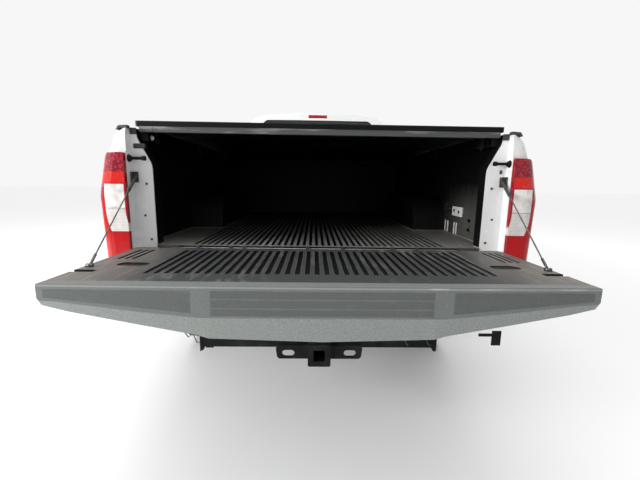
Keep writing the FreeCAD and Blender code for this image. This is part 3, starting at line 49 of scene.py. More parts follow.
# Places along the truck, in metres, as the solids have them
TAIL_Y = -2.8225
JAMB_Y = TAIL_Y + 0.07
REAR_AXLE_Y = -1.6625
FRONT_AXLE_Y = 2.3975
BULKHEAD_Y = JAMB_Y + 2.08
GATE_PIVOT_Y = TAIL_Y + 0.039
GATE_PIVOT_Z = 0.915
GATE_TOP_Z = GATE_PIVOT_Z + 0.025
GATE_FAR_Y = GATE_PIVOT_Y - 0.581
GATE_HALF = 0.858
LINER_TOP_Z = 0.945
BED_WALL_X = 0.84
TYRE_RADIUS = 0.415
TYRE_WIDTH = 0.275
FRONT_WHEEL_X = 0.8675
REAR_WHEEL_X = 0.8535

SIDES = (("right", 1), ("left", -1))

# The photograph's camera: focal length in millimetres, turns in degrees
CAMERA_LENS = 18.83
CAMERA_HEADING = -1.11
CAMERA_TILT = 9.585
CAMERA_ROLL = 0.8365
CAMERA_PLACE = (-0.0308, TAIL_Y - 1.5141, 1.2448)


# Camera and light
def photo_camera():
    lens = bpy.data.cameras.new("photo_camera")
    lens.sensor_width = 36.0
    lens.lens = CAMERA_LENS
    lens.clip_start = 0.05
    lens.clip_end = 200.0
    camera = bpy.data.objects.new("photo_camera", lens)
    scene.collection.objects.link(camera)
    heading = Matrix.Rotation(math.radians(CAMERA_HEADING), 4, "Z")
    tilt = Matrix.Rotation(math.radians(90.0 - CAMERA_TILT), 4, "X")
    roll = Matrix.Rotation(math.radians(CAMERA_ROLL), 4, "Z")
    camera.matrix_world = Matrix.Translation(CAMERA_PLACE) @ heading @ tilt @ roll
    scene.camera = camera


def soft_lamp(name, place, target, size, power):
    light = bpy.data.lights.new(name, "AREA")
    light.shape = "RECTANGLE"
    light.size = size[0]
    light.size_y = size[1]
    light.energy = power
    lamp = bpy.data.objects.new(name, light)
    scene.collection.objects.link(lamp)
    lamp.location = place
    lamp.rotation_euler = (Vector(target) - Vector(place)).to_track_quat("-Z", "Y").to_euler()


# The world is brighter as a background, and in mirrors and glass, than as a light
WORLD_AS_LIGHT = 0.46
WORLD_AS_SEEN = 0.93


def studio_light():
    soft_lamp("ceiling_panel", (0.0, -0.8, 6.5), (0.0, -0.6, 0.8), (7.0, 9.0), 330.0)
    soft_lamp("left_panel", (-6.4, -5.3, 2.6), (0.0, -2.7, 1.1), (2.6, 2.6), 540.0)
    world = bpy.data.worlds.new("studio_world")
    scene.world = world
    world.use_nodes = True
    tree = world.node_tree
    tree.nodes.clear()
    new = tree.nodes.new
    link = tree.links.new
    rays = new("ShaderNodeLightPath")
    seen = rays.outputs["Is Camera Ray"]
    for kind in ("Is Glossy Ray", "Is Transmission Ray"):
        either = new("ShaderNodeMath")
        either.operation = "MAXIMUM"
        link(seen, either.inputs[0])
        link(rays.outputs[kind], either.inputs[1])
        seen = either.outputs[0]
    strength = new("ShaderNodeMapRange")
    strength.inputs["To Min"].default_value = WORLD_AS_LIGHT
    strength.inputs["To Max"].default_value = WORLD_AS_SEEN
    link(seen, strength.inputs["Value"])
    sky = new("ShaderNodeBackground")
    sky.inputs["Color"].default_value = (1.0, 1.0, 1.0, 1.0)
    link(strength.outputs[0], sky.inputs["Strength"])
    out = new("ShaderNodeOutputWorld")
    link(sky.outputs[0], out.inputs["Surface"])
    scene.view_settings.view_transform = "Standard"


# Building blocks for the finishes
def shader_of(finish):
    return finish.node_tree.nodes["Principled BSDF"]


def set_input(finish, socket, value):
    shader_of(finish).inputs[socket].default_value = value


def new_finish(name, colour, roughness, metallic=0.0):
    finish = bpy.data.materials.new(name)
    finish.use_nodes = True
    set_input(finish, "Base Color", (*colour, 1.0))
    set_input(finish, "Roughness", roughness)
    set_input(finish, "Metallic", metallic)
    return finish


def node(finish, kind, **settings):
    made = finish.node_tree.nodes.new(kind)
    for name, value in settings.items():
        setattr(made, name, value)
    return made


def join(finish, source, target):
    finish.node_tree.links.new(source, target)


def position(finish, stretch=(1.0, 1.0, 1.0)):
    coordinates = node(finish, "ShaderNodeTexCoord")
    mapping = node(finish, "ShaderNodeMapping")
    mapping.inputs["Scale"].default_value = stretch
    join(finish, coordinates.outputs["Object"], mapping.inputs["Vector"])
    return mapping.outputs["Vector"]


def noise(finish, scale, detail=4.0, stretch=(1.0, 1.0, 1.0)):
    texture = node(finish, "ShaderNodeTexNoise")
    texture.inputs["Scale"].default_value = scale
    texture.inputs["Detail"].default_value = detail
    join(finish, position(finish, stretch), texture.inputs["Vector"])
    return texture.outputs["Fac"]


def grains(finish, scale, stretch=(1.0, 1.0, 1.0)):
    texture = node(finish, "ShaderNodeTexVoronoi")
    texture.inputs["Scale"].default_value = scale
    join(finish, position(finish, stretch), texture.inputs["Vector"])
    return texture.outputs["Distance"]


def along(finish, axis):
    split = node(finish, "ShaderNodeSeparateXYZ")
    join(finish, position(finish), split.inputs["Vector"])
    return split.outputs[axis]


def ramp(finish, value, low, high, start=0.0, end=1.0):
    spread = node(finish, "ShaderNodeMapRange")
    spread.inputs["From Min"].default_value = low
    spread.inputs["From Max"].default_value = high
    spread.inputs["To Min"].default_value = start
    spread.inputs["To Max"].default_value = end
    join(finish, value, spread.inputs["Value"])
    return spread.outputs["Result"]


def maths(finish, operation, first, second):
    step = node(finish, "ShaderNodeMath", operation=operation)
    for socket, value in zip(step.inputs, (first, second)):
        if isinstance(value, float):
            socket.default_value = value
        else:
            join(finish, value, socket)
    return step.outputs[0]


def blend_colour(finish, factor, first, second):
    mixer = node(finish, "ShaderNodeMix", data_type="RGBA")
    join(finish, factor, mixer.inputs[0])
    for socket, value in ((mixer.inputs[6], first), (mixer.inputs[7], second)):
        if isinstance(value, tuple):
            socket.default_value = (*value, 1.0)
        else:
            join(finish, value, socket)
    return mixer.outputs[2]


def times(finish, first, second):
    return maths(finish, "MULTIPLY", first, second)


def colour_from(finish, value):
    join(finish, value, shader_of(finish).inputs["Base Color"])


def colour_between(finish, factor, first, second):
    colour_from(finish, blend_colour(finish, factor, first, second))


def roughness_from(finish, value):
    join(finish, value, shader_of(finish).inputs["Roughness"])


# Soft patches of noise, spread from start to end
def blotches(finish, scale, detail, low, high, start=0.0, end=1.0):
    return ramp(finish, noise(finish, scale, detail), low, high, start, end)


def rough_patches(finish, *spread):
    roughness_from(finish, blotches(finish, *spread))


# Each relief adds to the one before it
def relief(finish, height, depth, strength=1.0):
    bump = node(finish, "ShaderNodeBump")
    bump.inputs["Strength"].default_value = strength
    bump.inputs["Distance"].default_value = depth
    join(finish, height, bump.inputs["Height"])
    shader = shader_of(finish)
    before = shader.inputs["Normal"].links
    if before:
        join(finish, before[0].from_socket, bump.inputs["Normal"])
    join(finish, bump.outputs["Normal"], shader.inputs["Normal"])


def uneven(finish, scale, detail, depth):
    relief(finish, noise(finish, scale, detail), depth)


# A band of 1 between two values, with soft edges
def between(finish, value, low, high, soft):
    rising = ramp(finish, value, low - soft, low + soft)
    falling = ramp(finish, value, high + soft, high - soft)
    return times(finish, rising, falling)


# Brighter where a surface turns over an edge
def edge_mask(finish, radius, low=0.75, high=0.98):
    rounded = node(finish, "ShaderNodeBevel")
    rounded.samples = 4
    rounded.inputs["Radius"].default_value = radius
    plain = node(finish, "ShaderNodeNewGeometry")
    turn = node(finish, "ShaderNodeVectorMath", operation="DOT_PRODUCT")
    join(finish, rounded.outputs["Normal"], turn.inputs[0])
    join(finish, plain.outputs["Normal"], turn.inputs[1])
    return ramp(finish, turn.outputs["Value"], high, low)


# Pale patches on edges: wear, and painted highlights where the edges catch the light
def wear_and_highlight_edges(finish, base, wear_and_highlight, radius, scale, amount=0.7):
    patches = blotches(finish, scale, 6.0, 0.42, 0.62)
    mask = times(finish, edge_mask(finish, radius), patches)
    return blend_colour(finish, times(finish, mask, amount), base, wear_and_highlight)


# Road dust that thins out with height
def dusty(finish, base, top, dust=(0.36, 0.33, 0.29), amount=0.5):
    height = ramp(finish, along(finish, "Z"), top, top - 0.45)
    patches = blotches(finish, 6.0, 8.0, 0.35, 0.75)
    mask = times(finish, height, patches)
    return blend_colour(finish, times(finish, mask, amount), base, dust)


# Finishes of the body
def white_paint():
    finish = new_finish("white_paint", (0.82, 0.825, 0.825), 0.26)
    set_input(finish, "Coat Weight", 0.6)
    set_input(finish, "Coat Roughness", 0.05)
    tone = blotches(finish, 1.7, 3.0, 0.3, 0.7)
    base = blend_colour(finish, tone, (0.81, 0.818, 0.822), (0.825, 0.83, 0.828))
    colour_from(finish, dusty(finish, base, 0.8, (0.55, 0.52, 0.47), 0.3))
    rough_patches(finish, 14.0, 6.0, 0.3, 0.8, 0.2, 0.32)
    uneven(finish, 420.0, 2.0, 0.00003)
    return finish


def window_glass():
    finish = new_finish("window_glass", (0.3, 0.34, 0.34), 0.02)
    set_input(finish, "Transmission Weight", 0.9)
    set_input(finish, "IOR", 1.45)
    rough_patches(finish, 9.0, 6.0, 0.45, 0.8, 0.015, 0.07)
    colour_between(finish, ramp(finish, along(finish, "Z"), 1.85, 1.35),
                   (0.1, 0.12, 0.13), (0.2, 0.23, 0.235))
    return finish


def mirror_face():
    finish = new_finish("mirror_face", (0.84, 0.86, 0.88), 0.03, 1.0)
    rough_patches(finish, 30.0, 4.0, 0.4, 0.8, 0.02, 0.08)
    colour_between(finish, noise(finish, 6.0), (0.8, 0.83, 0.86), (0.86, 0.88, 0.89))
    return finish


def lamp_lens():
    finish = new_finish("lamp_lens", (0.9, 0.92, 0.94), 0.04)
    set_input(finish, "Transmission Weight", 0.85)
    set_input(finish, "IOR", 1.49)
    colour_between(finish, noise(finish, 4.0), (0.86, 0.89, 0.92), (0.93, 0.95, 0.96))
    uneven(finish, 60.0, 3.0, 0.0002)
    return finish


def bright_chrome():
    finish = new_finish("bright_chrome", (0.78, 0.79, 0.8), 0.07, 1.0)
    colour_from(finish, dusty(finish, (0.78, 0.79, 0.8), 0.75, (0.34, 0.32, 0.29), 0.6))
    rough_patches(finish, 18.0, 6.0, 0.35, 0.8, 0.05, 0.16)
    uneven(finish, 5.0, 2.0, 0.0004)
    return finish


def black_plastic():
    finish = new_finish("black_plastic", (0.028, 0.029, 0.03), 0.55)
    base = blend_colour(finish, blotches(finish, 3.0, 5.0, 0.3, 0.7),
                        (0.022, 0.023, 0.024), (0.04, 0.041, 0.042))
    colour_from(finish, dusty(finish, base, 0.8, amount=0.35))
    rough_patches(finish, 25.0, 4.0, 0.3, 0.7, 0.45, 0.65)
    relief(finish, grains(finish, 900.0), 0.00015)
    return finish


# Ribbed liner: its ribs are scuffed grey and painted lighter as lit, and the black between them and on
# the walls is painted shade, darker than the plastic's own black
def bed_plastic(name, rib_z, lit_rib_tones):
    finish = new_finish(name, (0.018, 0.018, 0.018), 0.62)
    set_input(finish, "Specular IOR Level", 0.15)
    drags = ramp(finish, noise(finish, 22.0, 8.0, (2.2, 0.35, 2.2)), 0.5, 0.7)
    patches = blotches(finish, 2.6, 5.0, 0.4, 0.66)
    scuffs = times(finish, drags, patches)
    top = blend_colour(finish, scuffs, *lit_rib_tones)
    across = maths(finish, "ABSOLUTE", along(finish, "X"), 0.0)
    # Soil towards the ends, made paler as painted sheen off the glossy plastic
    soil_and_sheen = times(finish, ramp(finish, across, 0.56, 0.76), ramp(finish, drags, 0.0, 1.0, 0.45, 0.85))
    top = blend_colour(finish, soil_and_sheen, top, (0.245, 0.222, 0.198))
    # Rib edges: wear, and painted highlights along them
    top = wear_and_highlight_edges(finish, top, (0.3, 0.295, 0.28), 0.003, 16.0, 0.8)
    # Painted shade under the cover: rib tops darken deeper into the bed
    painted_cover_shade = ramp(finish, along(finish, "Y"), TAIL_Y + 0.2, TAIL_Y + 1.7)
    top = blend_colour(finish, painted_cover_shade, top, (0.085, 0.086, 0.086))
    # Painted light and shade: lit rib tops, shaded grooves and walls
    lit_rib_tops = between(finish, along(finish, "Z"), rib_z - 0.0012, rib_z + 0.004, 0.0006)
    # The paler patch low on the right wall near the tail, held in dust, is painted sunlight
    dust = times(finish, ramp(finish, along(finish, "X"), 0.8, 0.835),
                 ramp(finish, along(finish, "Y"), TAIL_Y + 0.75, TAIL_Y + 0.4))
    dust = times(finish, dust, ramp(finish, along(finish, "Z"), 1.26, 1.06))
    wall = blend_colour(finish, dust, (0.003, 0.0031, 0.0033), (0.065, 0.064, 0.058))
    colour_between(finish, lit_rib_tops, wall, top)
    roughness_from(finish, ramp(finish, scuffs, 0.0, 1.0, 0.5, 0.72))
    relief(finish, grains(finish, 650.0), 0.0002)
    return finish


# The cap's break line rises towards both ends, and its lower band is coarser and paler
CAP_BREAK_Z = (0.838, 0.858, 0.884)
CAP_BREAK_X = (0.38, 0.58, 0.8)


def gate_cap_plastic(name, smooth_tones):
    finish = new_finish(name, (0.15, 0.16, 0.155), 0.6)
    speckle = blotches(finish, 260.0, 4.0, 0.38, 0.62)
    streaks = ramp(finish, noise(finish, 34.0, 7.0, (0.25, 2.0, 1.6)), 0.55, 0.75)
    smooth = blend_colour(finish, speckle, *smooth_tones)
    coarse = blend_colour(finish, speckle, (0.2, 0.218, 0.208), (0.29, 0.312, 0.298))
    across = maths(finish, "ABSOLUTE", along(finish, "X"), 0.0)
    rise = ramp(finish, across, CAP_BREAK_X[0], CAP_BREAK_X[1], *CAP_BREAK_Z[:2])
    steep = ramp(finish, across, CAP_BREAK_X[1], CAP_BREAK_X[2], 0.0, CAP_BREAK_Z[2] - CAP_BREAK_Z[1])
    edge = maths(finish, "ADD", rise, steep)
    low_band = ramp(finish, maths(finish, "SUBTRACT", along(finish, "Z"), edge), 0.001, -0.001)
    base = blend_colour(finish, low_band, smooth, coarse)
    marked = blend_colour(finish, times(finish, streaks, 0.1), base, (0.26, 0.27, 0.26))
    # Pale line under the top edge: wear, with a painted highlight
    lip_wear_and_highlight = between(finish, along(finish, "Z"), GATE_TOP_Z - 0.0085, GATE_TOP_Z - 0.004, 0.002)
    lip_wear_and_highlight = times(finish, lip_wear_and_highlight, ramp(finish, streaks, 0.0, 1.0, 0.3, 0.95))
    marked = blend_colour(finish, lip_wear_and_highlight, marked, (0.62, 0.62, 0.59))
    # Pale edges: wear, and painted highlights
    colour_from(finish, wear_and_highlight_edges(finish, marked, (0.34, 0.35, 0.33), 0.0025, 20.0, 0.55))
    roughness_from(finish, ramp(finish, speckle, 0.0, 1.0, 0.5, 0.68))
    relief(finish, noise(finish, 330.0, 5.0), 0.0006, 0.7)
    return finish


# Black slab; the metal trim below it is a lighter grey
def cover_vinyl():
    finish = new_finish("cover_vinyl", (0.02, 0.021, 0.022), 0.5)
    set_input(finish, "Specular IOR Level", 0.12)
    face = blend_colour(finish, blotches(finish, 5.0, 6.0, 0.35, 0.75),
                        (0.013, 0.014, 0.015), (0.028, 0.029, 0.03))
    slab = blend_colour(finish, between(finish, along(finish, "Z"), 1.48, 1.5085, 0.0008), face,
                        (0.003, 0.0032, 0.0034))
    trim = ramp(finish, along(finish, "Z"), 1.4893, 1.4886)
    # Streaks of painted highlight along the metal trim
    wear_and_highlight = ramp(finish, noise(finish, 26.0, 7.0, (0.2, 1.0, 2.0)), 0.52, 0.72)
    metal = blend_colour(finish, wear_and_highlight, (0.085, 0.09, 0.088), (0.3, 0.305, 0.29))
    colour_between(finish, trim, slab, metal)
    rough_patches(finish, 9.0, 5.0, 0.3, 0.7, 0.4, 0.58)
    relief(finish, grains(finish, 480.0), 0.0003)
    return finish


# Height of the lamp's zones, and the panel's outer edge at its top and foot
LAMP_BAND_Z = (1.235, 1.283)
PANEL_Z = (1.019, 1.23)
PANEL_SPLIT_Z = 1.123
PANEL_X = (0.8745, 0.963)
PANEL_FOOT_X = 0.934
STOP_LAMP_Z = 1.9
STOP_MIDDLE_X = 0.1
LENS_PITCH = 0.009
LENS_GRAINS = 85.0


# A waved pattern of 0 to 1 along one axis
def stripes(finish, axis, pitch):
    turns = times(finish, along(finish, axis), math.tau / pitch)
    return ramp(finish, maths(finish, "SINE", turns, 0.0), -1.0, 1.0)


def red_zones(finish, height, across):
    sparkle = ramp(finish, grains(finish, LENS_GRAINS), 0.1, 0.55)
    top = blend_colour(finish, sparkle, (0.54, 0.028, 0.052), (0.22, 0.006, 0.018))
    lines = stripes(finish, "X", LENS_PITCH)
    low = blend_colour(finish, lines, (0.34, 0.002, 0.003), (0.57, 0.003, 0.005))
    low = blend_colour(finish, blotches(finish, 30.0, 3.0, 0.35, 0.65), low, (0.44, 0.002, 0.004))
    red = blend_colour(finish, ramp(finish, height, 1.16, 1.17), low, top)
    red = blend_colour(finish, between(finish, height, *LAMP_BAND_Z, 0.004), red, (0.64, 0.014, 0.008))
    glints = blotches(finish, 130.0, 3.0, 0.62, 0.74)
    glints = times(finish, glints, ramp(finish, height, 1.16, 1.17, 0.15, 0.55))
    red = blend_colour(finish, glints, red, (0.9, 0.26, 0.24))
    inner = ramp(finish, across, 0.8705, 0.8675)
    inner = times(finish, inner, ramp(finish, height, 1.5, 1.49))
    return blend_colour(finish, inner, red, (0.3, 0.004, 0.01))


# White cell above, finely lined cell below
def clear_zones(finish, height):
    shade = blotches(finish, 26.0, 3.0, 0.3, 0.62)
    upper = blend_colour(finish, shade, (0.56, 0.54, 0.53), (0.88, 0.85, 0.81))
    lower = blend_colour(finish, stripes(finish, "Z", 0.0065), (0.6, 0.57, 0.55), (0.88, 0.85, 0.81))
    lower = blend_colour(finish, times(finish, shade, 0.5), lower, (0.5, 0.47, 0.46))
    over = ramp(finish, height, PANEL_SPLIT_Z - 0.001, PANEL_SPLIT_Z + 0.001)
    bright = blend_colour(finish, over, lower, upper)
    split = between(finish, height, PANEL_SPLIT_Z - 0.002, PANEL_SPLIT_Z + 0.002, 0.0012)
    return blend_colour(finish, times(finish, split, 0.75), bright, (0.3, 0.22, 0.24))


# The clear panel's outline, larger by grow on every side
def panel_area(finish, height, bent, grow):
    up = between(finish, height, PANEL_Z[0] - grow, PANEL_Z[1] + grow, 0.0015)
    out = between(finish, bent, PANEL_X[0] - grow, PANEL_X[1] + grow, 0.0015)
    return times(finish, up, out)


def tail_lens():
    finish = new_finish("tail_lens", (0.6, 0.012, 0.016), 0.14)
    set_input(finish, "Specular IOR Level", 0.28)
    height = along(finish, "Z")
    across = maths(finish, "ABSOLUTE", along(finish, "X"), 0.0)
    red = red_zones(finish, height, across)
    foot = ramp(finish, height, PANEL_SPLIT_Z, PANEL_Z[0] - 0.02)
    curve = times(finish, times(finish, foot, foot), PANEL_X[1] - PANEL_FOOT_X)
    bent = maths(finish, "ADD", across, curve)
    glass = blend_colour(finish, panel_area(finish, height, bent, 0.004), red, (0.34, 0.004, 0.01))
    clear = panel_area(finish, height, bent, 0.0)
    glass = blend_colour(finish, clear, glass, clear_zones(finish, height))
    cargo = times(finish, ramp(finish, height, STOP_LAMP_Z, STOP_LAMP_Z + 0.01),
                  ramp(finish, across, STOP_MIDDLE_X, STOP_MIDDLE_X + 0.002))
    colour_between(finish, cargo, glass, (0.8, 0.79, 0.76))
    pattern = maths(finish, "ADD", stripes(finish, "X", LENS_PITCH), grains(finish, LENS_GRAINS))
    relief(finish, pattern, 0.0002, 0.5)
    return finish


def chassis_coat():
    finish = new_finish("chassis_coat", (0.01, 0.01, 0.011), 0.55)
    set_input(finish, "Specular IOR Level", 0.1)
    base = blend_colour(finish, blotches(finish, 7.0, 7.0, 0.45, 0.75),
                        (0.007, 0.007, 0.008), (0.022, 0.021, 0.02))
    colour_from(finish, dusty(finish, base, 0.62, (0.1, 0.088, 0.075), 0.25))
    rough_patches(finish, 20.0, 5.0, 0.3, 0.7, 0.4, 0.7)
    uneven(finish, 130.0, 5.0, 0.0004)
    return finish


def cast_iron():
    finish = new_finish("cast_iron", (0.085, 0.082, 0.08), 0.62, 0.5)
    rust = blotches(finish, 11.0, 8.0, 0.55, 0.75)
    base = blend_colour(finish, rust, (0.07, 0.07, 0.072), (0.15, 0.078, 0.042))
    colour_from(finish, dusty(finish, base, 0.75, (0.22, 0.19, 0.16), 0.5))
    uneven(finish, 190.0, 5.0, 0.0007)
    return finish


def bare_steel():
    finish = new_finish("bare_steel", (0.42, 0.42, 0.41), 0.35, 1.0)
    colour_between(finish, blotches(finish, 30.0, 6.0, 0.5, 0.8), (0.42, 0.42, 0.41), (0.2, 0.15, 0.12))
    rough_patches(finish, 60.0, 4.0, 0.3, 0.7, 0.28, 0.48)
    uneven(finish, 300.0, 3.0, 0.0001)
    return finish


def dark_steel():
    finish = new_finish("dark_steel", (0.1, 0.1, 0.105), 0.36, 0.9)
    colour_between(finish, blotches(finish, 40.0, 6.0, 0.4, 0.75),
                   (0.075, 0.075, 0.08), (0.22, 0.2, 0.18))
    rough_patches(finish, 60.0, 4.0, 0.3, 0.7, 0.28, 0.5)
    uneven(finish, 300.0, 3.0, 0.0001)
    return finish


def exhaust_steel():
    finish = new_finish("exhaust_steel", (0.3, 0.27, 0.24), 0.42, 1.0)
    stains = blotches(finish, 8.0, 7.0, 0.4, 0.7)
    colour_between(finish, stains, (0.33, 0.31, 0.29), (0.22, 0.12, 0.06))
    roughness_from(finish, ramp(finish, stains, 0.0, 1.0, 0.34, 0.66))
    uneven(finish, 120.0, 5.0, 0.0002)
    return finish


def tyre_rubber():
    finish = new_finish("tyre_rubber", (0.02, 0.02, 0.02), 0.75)
    dust = blotches(finish, 10.0, 8.0, 0.4, 0.75)
    colour_between(finish, times(finish, dust, 0.5), (0.016, 0.016, 0.016), (0.095, 0.088, 0.078))
    uneven(finish, 260.0, 4.0, 0.0003)
    return finish


def silver_alloy():
    finish = new_finish("silver_alloy", (0.56, 0.57, 0.58), 0.28, 0.9)
    dust = blotches(finish, 14.0, 7.0, 0.45, 0.8)
    colour_between(finish, times(finish, dust, 0.6), (0.58, 0.59, 0.6), (0.2, 0.17, 0.15))
    roughness_from(finish, ramp(finish, dust, 0.0, 1.0, 0.22, 0.5))
    uneven(finish, 500.0, 2.0, 0.00005)
    return finish


def pale_zinc():
    finish = new_finish("pale_zinc", (0.78, 0.78, 0.76), 0.45, 0.25)
    colour_between(finish, blotches(finish, 60.0, 6.0, 0.45, 0.75), (0.82, 0.82, 0.8), (0.46, 0.45, 0.42))
    rough_patches(finish, 40.0, 4.0, 0.3, 0.7, 0.35, 0.55)
    return finish


def radiator_fins():
    finish = new_finish("radiator_fins", (0.2, 0.2, 0.21), 0.5, 0.8)
    rows = node(finish, "ShaderNodeTexWave", wave_type="BANDS", bands_direction="Z")
    rows.inputs["Scale"].default_value = 55.0
    join(finish, position(finish), rows.inputs["Vector"])
    colour_between(finish, rows.outputs["Fac"], (0.05, 0.05, 0.055), (0.3, 0.3, 0.31))
    relief(finish, rows.outputs["Fac"], 0.002)
    return finish


# Finishes of the cab
def seat_cloth():
    finish = new_finish("seat_cloth", (0.13, 0.13, 0.14), 0.85)
    set_input(finish, "Sheen Weight", 0.3)
    weave = grains(finish, 420.0, (1.0, 1.0, 1.6))
    colour_between(finish, ramp(finish, weave, 0.1, 0.7), (0.1, 0.1, 0.108), (0.18, 0.18, 0.19))
    relief(finish, weave, 0.0008)
    return finish


def dash_plastic():
    finish = new_finish("dash_plastic", (0.06, 0.06, 0.064), 0.6)
    height = ramp(finish, along(finish, "Z"), 1.12, 1.16)
    base = blend_colour(finish, height, (0.11, 0.108, 0.104), (0.035, 0.035, 0.038))
    colour_between(finish, noise(finish, 8.0), base, (0.05, 0.05, 0.053))
    relief(finish, grains(finish, 520.0), 0.0003)
    return finish


PAINT = white_paint()
GLASS = window_glass()
MIRROR = mirror_face()
LENS = lamp_lens()
CHROME = bright_chrome()
BLACK = black_plastic()
# The floor's ribs are painted far paler than the tailgate's, as painted sunlight near the sill
LINER = bed_plastic("bed_plastic", LINER_TOP_Z, ((0.17, 0.17, 0.16), (0.46, 0.445, 0.415)))
GATE_LINER = bed_plastic("gate_plastic", GATE_TOP_Z, ((0.048, 0.05, 0.051), (0.165, 0.16, 0.148)))
CAP = gate_cap_plastic("gate_cap_plastic", ((0.128, 0.14, 0.134), (0.162, 0.177, 0.168)))
CAP_PANEL = gate_cap_plastic("cap_panel_plastic", ((0.078, 0.086, 0.085), (0.105, 0.115, 0.112)))
VINYL = cover_vinyl()
RED_LENS = tail_lens()
CHASSIS = chassis_coat()
CAST = cast_iron()
STEEL = bare_steel()
DARK_STEEL = dark_steel()
EXHAUST = exhaust_steel()
RUBBER = tyre_rubber()
ALLOY = silver_alloy()
ZINC = pale_zinc()
FINS = radiator_fins()
CLOTH = seat_cloth()
DASH = dash_plastic()

def both_sides(*stems):
    return tuple(f"{stem}_{word}" for stem in stems for word, _ in SIDES)


NODE_FINISH = {
    PAINT: ("cab_body", "front_wings", "hood", "bed_floor", "wheelhouses", "tailgate",
            *both_sides("front_door", "rear_door", "bed_side")),
    GLASS: ("cab_glass", *both_sides("front_door_glass", "rear_door_glass")),
    MIRROR: both_sides("mirror_glass"),
    LENS: ("headlamps",),
    CHROME: ("grille", "front_bumper"),
    BLACK: ("fuel_tank", "steering_wheel", "running_boards", *both_sides("mirror")),
    LINER: ("bed_liner",),
    GATE_LINER: ("tailgate_liner",),
    CAP: ("tailgate_cap",),
    VINYL: ("cover_front", "cover_middle", "cover_rear"),
    RED_LENS: ("tail_lamps",),
    CHASSIS: ("frame", "cover_rails", "tow_receiver", "leaf_springs", "coil_springs"),
    CAST: ("rear_axle", "front_axle", "engine", *both_sides("knuckle")),
    STEEL: ("propshafts", "tailgate_cables"),
    EXHAUST: ("exhaust",),
    RUBBER: both_sides("tyre_front", "tyre_rear"),
    ALLOY: both_sides("rim_front", "rim_rear"),
    FINS: ("radiator",),
    CLOTH: ("front_seats", "rear_seat"),
    DASH: ("dashboard",),
}


def dress_nodes():
    for finish, names in NODE_FINISH.items():
        for name in names:
            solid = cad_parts[name]
            solid.data.materials.clear()
            solid.data.materials.append(finish)


# A mesh becomes an object of the scene
def shown(name, mesh, finish, smooth=True):
    data = bpy.data.meshes.new(name)
    mesh.to_mesh(data)
    mesh.free()
    data.materials.append(finish)
    piece = bpy.data.objects.new(name, data)
    scene.collection.objects.link(piece)
    if smooth:
        data.shade_smooth()
    return piece


# A piece rides on a body and takes its finish from a slot
def fitted(name, mesh, finish, body="truck", smooth=False):
    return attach(shown(name, mesh, finish, smooth), body)


def face_outwards(mesh):
    bmesh.ops.recalc_face_normals(mesh, faces=mesh.faces)


def edges_of(verts):
    return list({edge for vert in verts for edge in vert.link_edges})


def round_edges(mesh, verts, bevel, segments=2):
    bmesh.ops.bevel(mesh, geom=edges_of(verts), offset=bevel, segments=segments, profile=0.5,
                    affect="EDGES", material=-1)


# Pushes faces out along a way, with sides, and gives the points it moved
def thicken(mesh, faces, way):
    grown = bmesh.ops.extrude_face_region(mesh, geom=faces)["geom"]
    moved = [item for item in grown if isinstance(item, bmesh.types.BMVert)]
    bmesh.ops.translate(mesh, vec=way, verts=moved)
    return moved


def block(mesh, low, high, bevel=0.0, segments=2):
    low = Vector(low)
    high = Vector(high)
    made = bmesh.ops.create_cube(mesh, size=1.0)["verts"]
    bmesh.ops.scale(mesh, vec=high - low, verts=made)
    bmesh.ops.translate(mesh, vec=(low + high) / 2, verts=made)
    if bevel:
        round_edges(mesh, made, bevel, segments)


# A block on one side of the truck, with y and z of its low and high corner
def side_block(mesh, side, inner_x, outer_x, low, high, bevel=0.0):
    left, right = sorted((side * inner_x, side * outer_x))
    block(mesh, (left, *low), (right, *high), bevel)


def rod(mesh, start, end, radius, steps=16, far_radius=None):
    start = Vector(start)
    end = Vector(end)
    turn = (end - start).to_track_quat("Z", "Y").to_matrix().to_4x4()
    place = Matrix.Translation((start + end) / 2) @ turn
    bmesh.ops.create_cone(mesh, cap_ends=True, segments=steps, radius1=radius,
                          radius2=radius if far_radius is None else far_radius,
                          depth=(end - start).length, matrix=place)


# A bent rod through a list of places
def tube(mesh, places, radius, steps=10):
    places = [Vector(place) for place in places]
    rings = []
    for i, place in enumerate(places):
        ahead = places[min(i + 1, len(places) - 1)] - places[max(i - 1, 0)]
        turn = ahead.to_track_quat("Z", "Y").to_matrix().to_4x4()
        ring = bmesh.ops.create_circle(mesh, segments=steps, radius=radius,
                                       matrix=Matrix.Translation(place) @ turn)["verts"]
        rings.append(edges_of(ring))
    for near, far in zip(rings[:-1], rings[1:]):
        bmesh.ops.bridge_loops(mesh, edges=near + far)
    for ring in (rings[0], rings[-1]):
        bmesh.ops.contextual_create(mesh, geom=ring)


# A sheet with the given outline, thickened along a way
def plate(mesh, outline, way, bevel=0.0):
    corners = [mesh.verts.new(corner) for corner in outline]
    moved = thicken(mesh, [mesh.faces.new(corners)], way)
    if bevel:
        round_edges(mesh, corners + moved, bevel)
    face_outwards(mesh)


# A washer under a six-sided head
def bolt(mesh, place, way, radius, height):
    place = Vector(place)
    way = Vector(way).normalized()
    rod(mesh, place - way * 0.001, place + way * height * 0.25, radius * 1.45, 20)
    rod(mesh, place, place + way * height, radius, 6, radius * 0.93)


# A body of revolution about an axis through the origin
def turn_profile(mesh, points, axis, steps):
    verts = [mesh.verts.new(point) for point in points]
    edges = [mesh.edges.new(pair) for pair in zip(verts[:-1], verts[1:])]
    bmesh.ops.spin(mesh, geom=verts + edges, cent=(0, 0, 0), axis=axis, angle=math.tau,
                   steps=steps, use_merge=True)
    bmesh.ops.remove_doubles(mesh, verts=mesh.verts, dist=0.00002)
    face_outwards(mesh)


TREAD_STEPS = 64
TREAD_HEIGHT = 0.011
NUT_COUNT = 8
NUT_CIRCLE = 0.0825

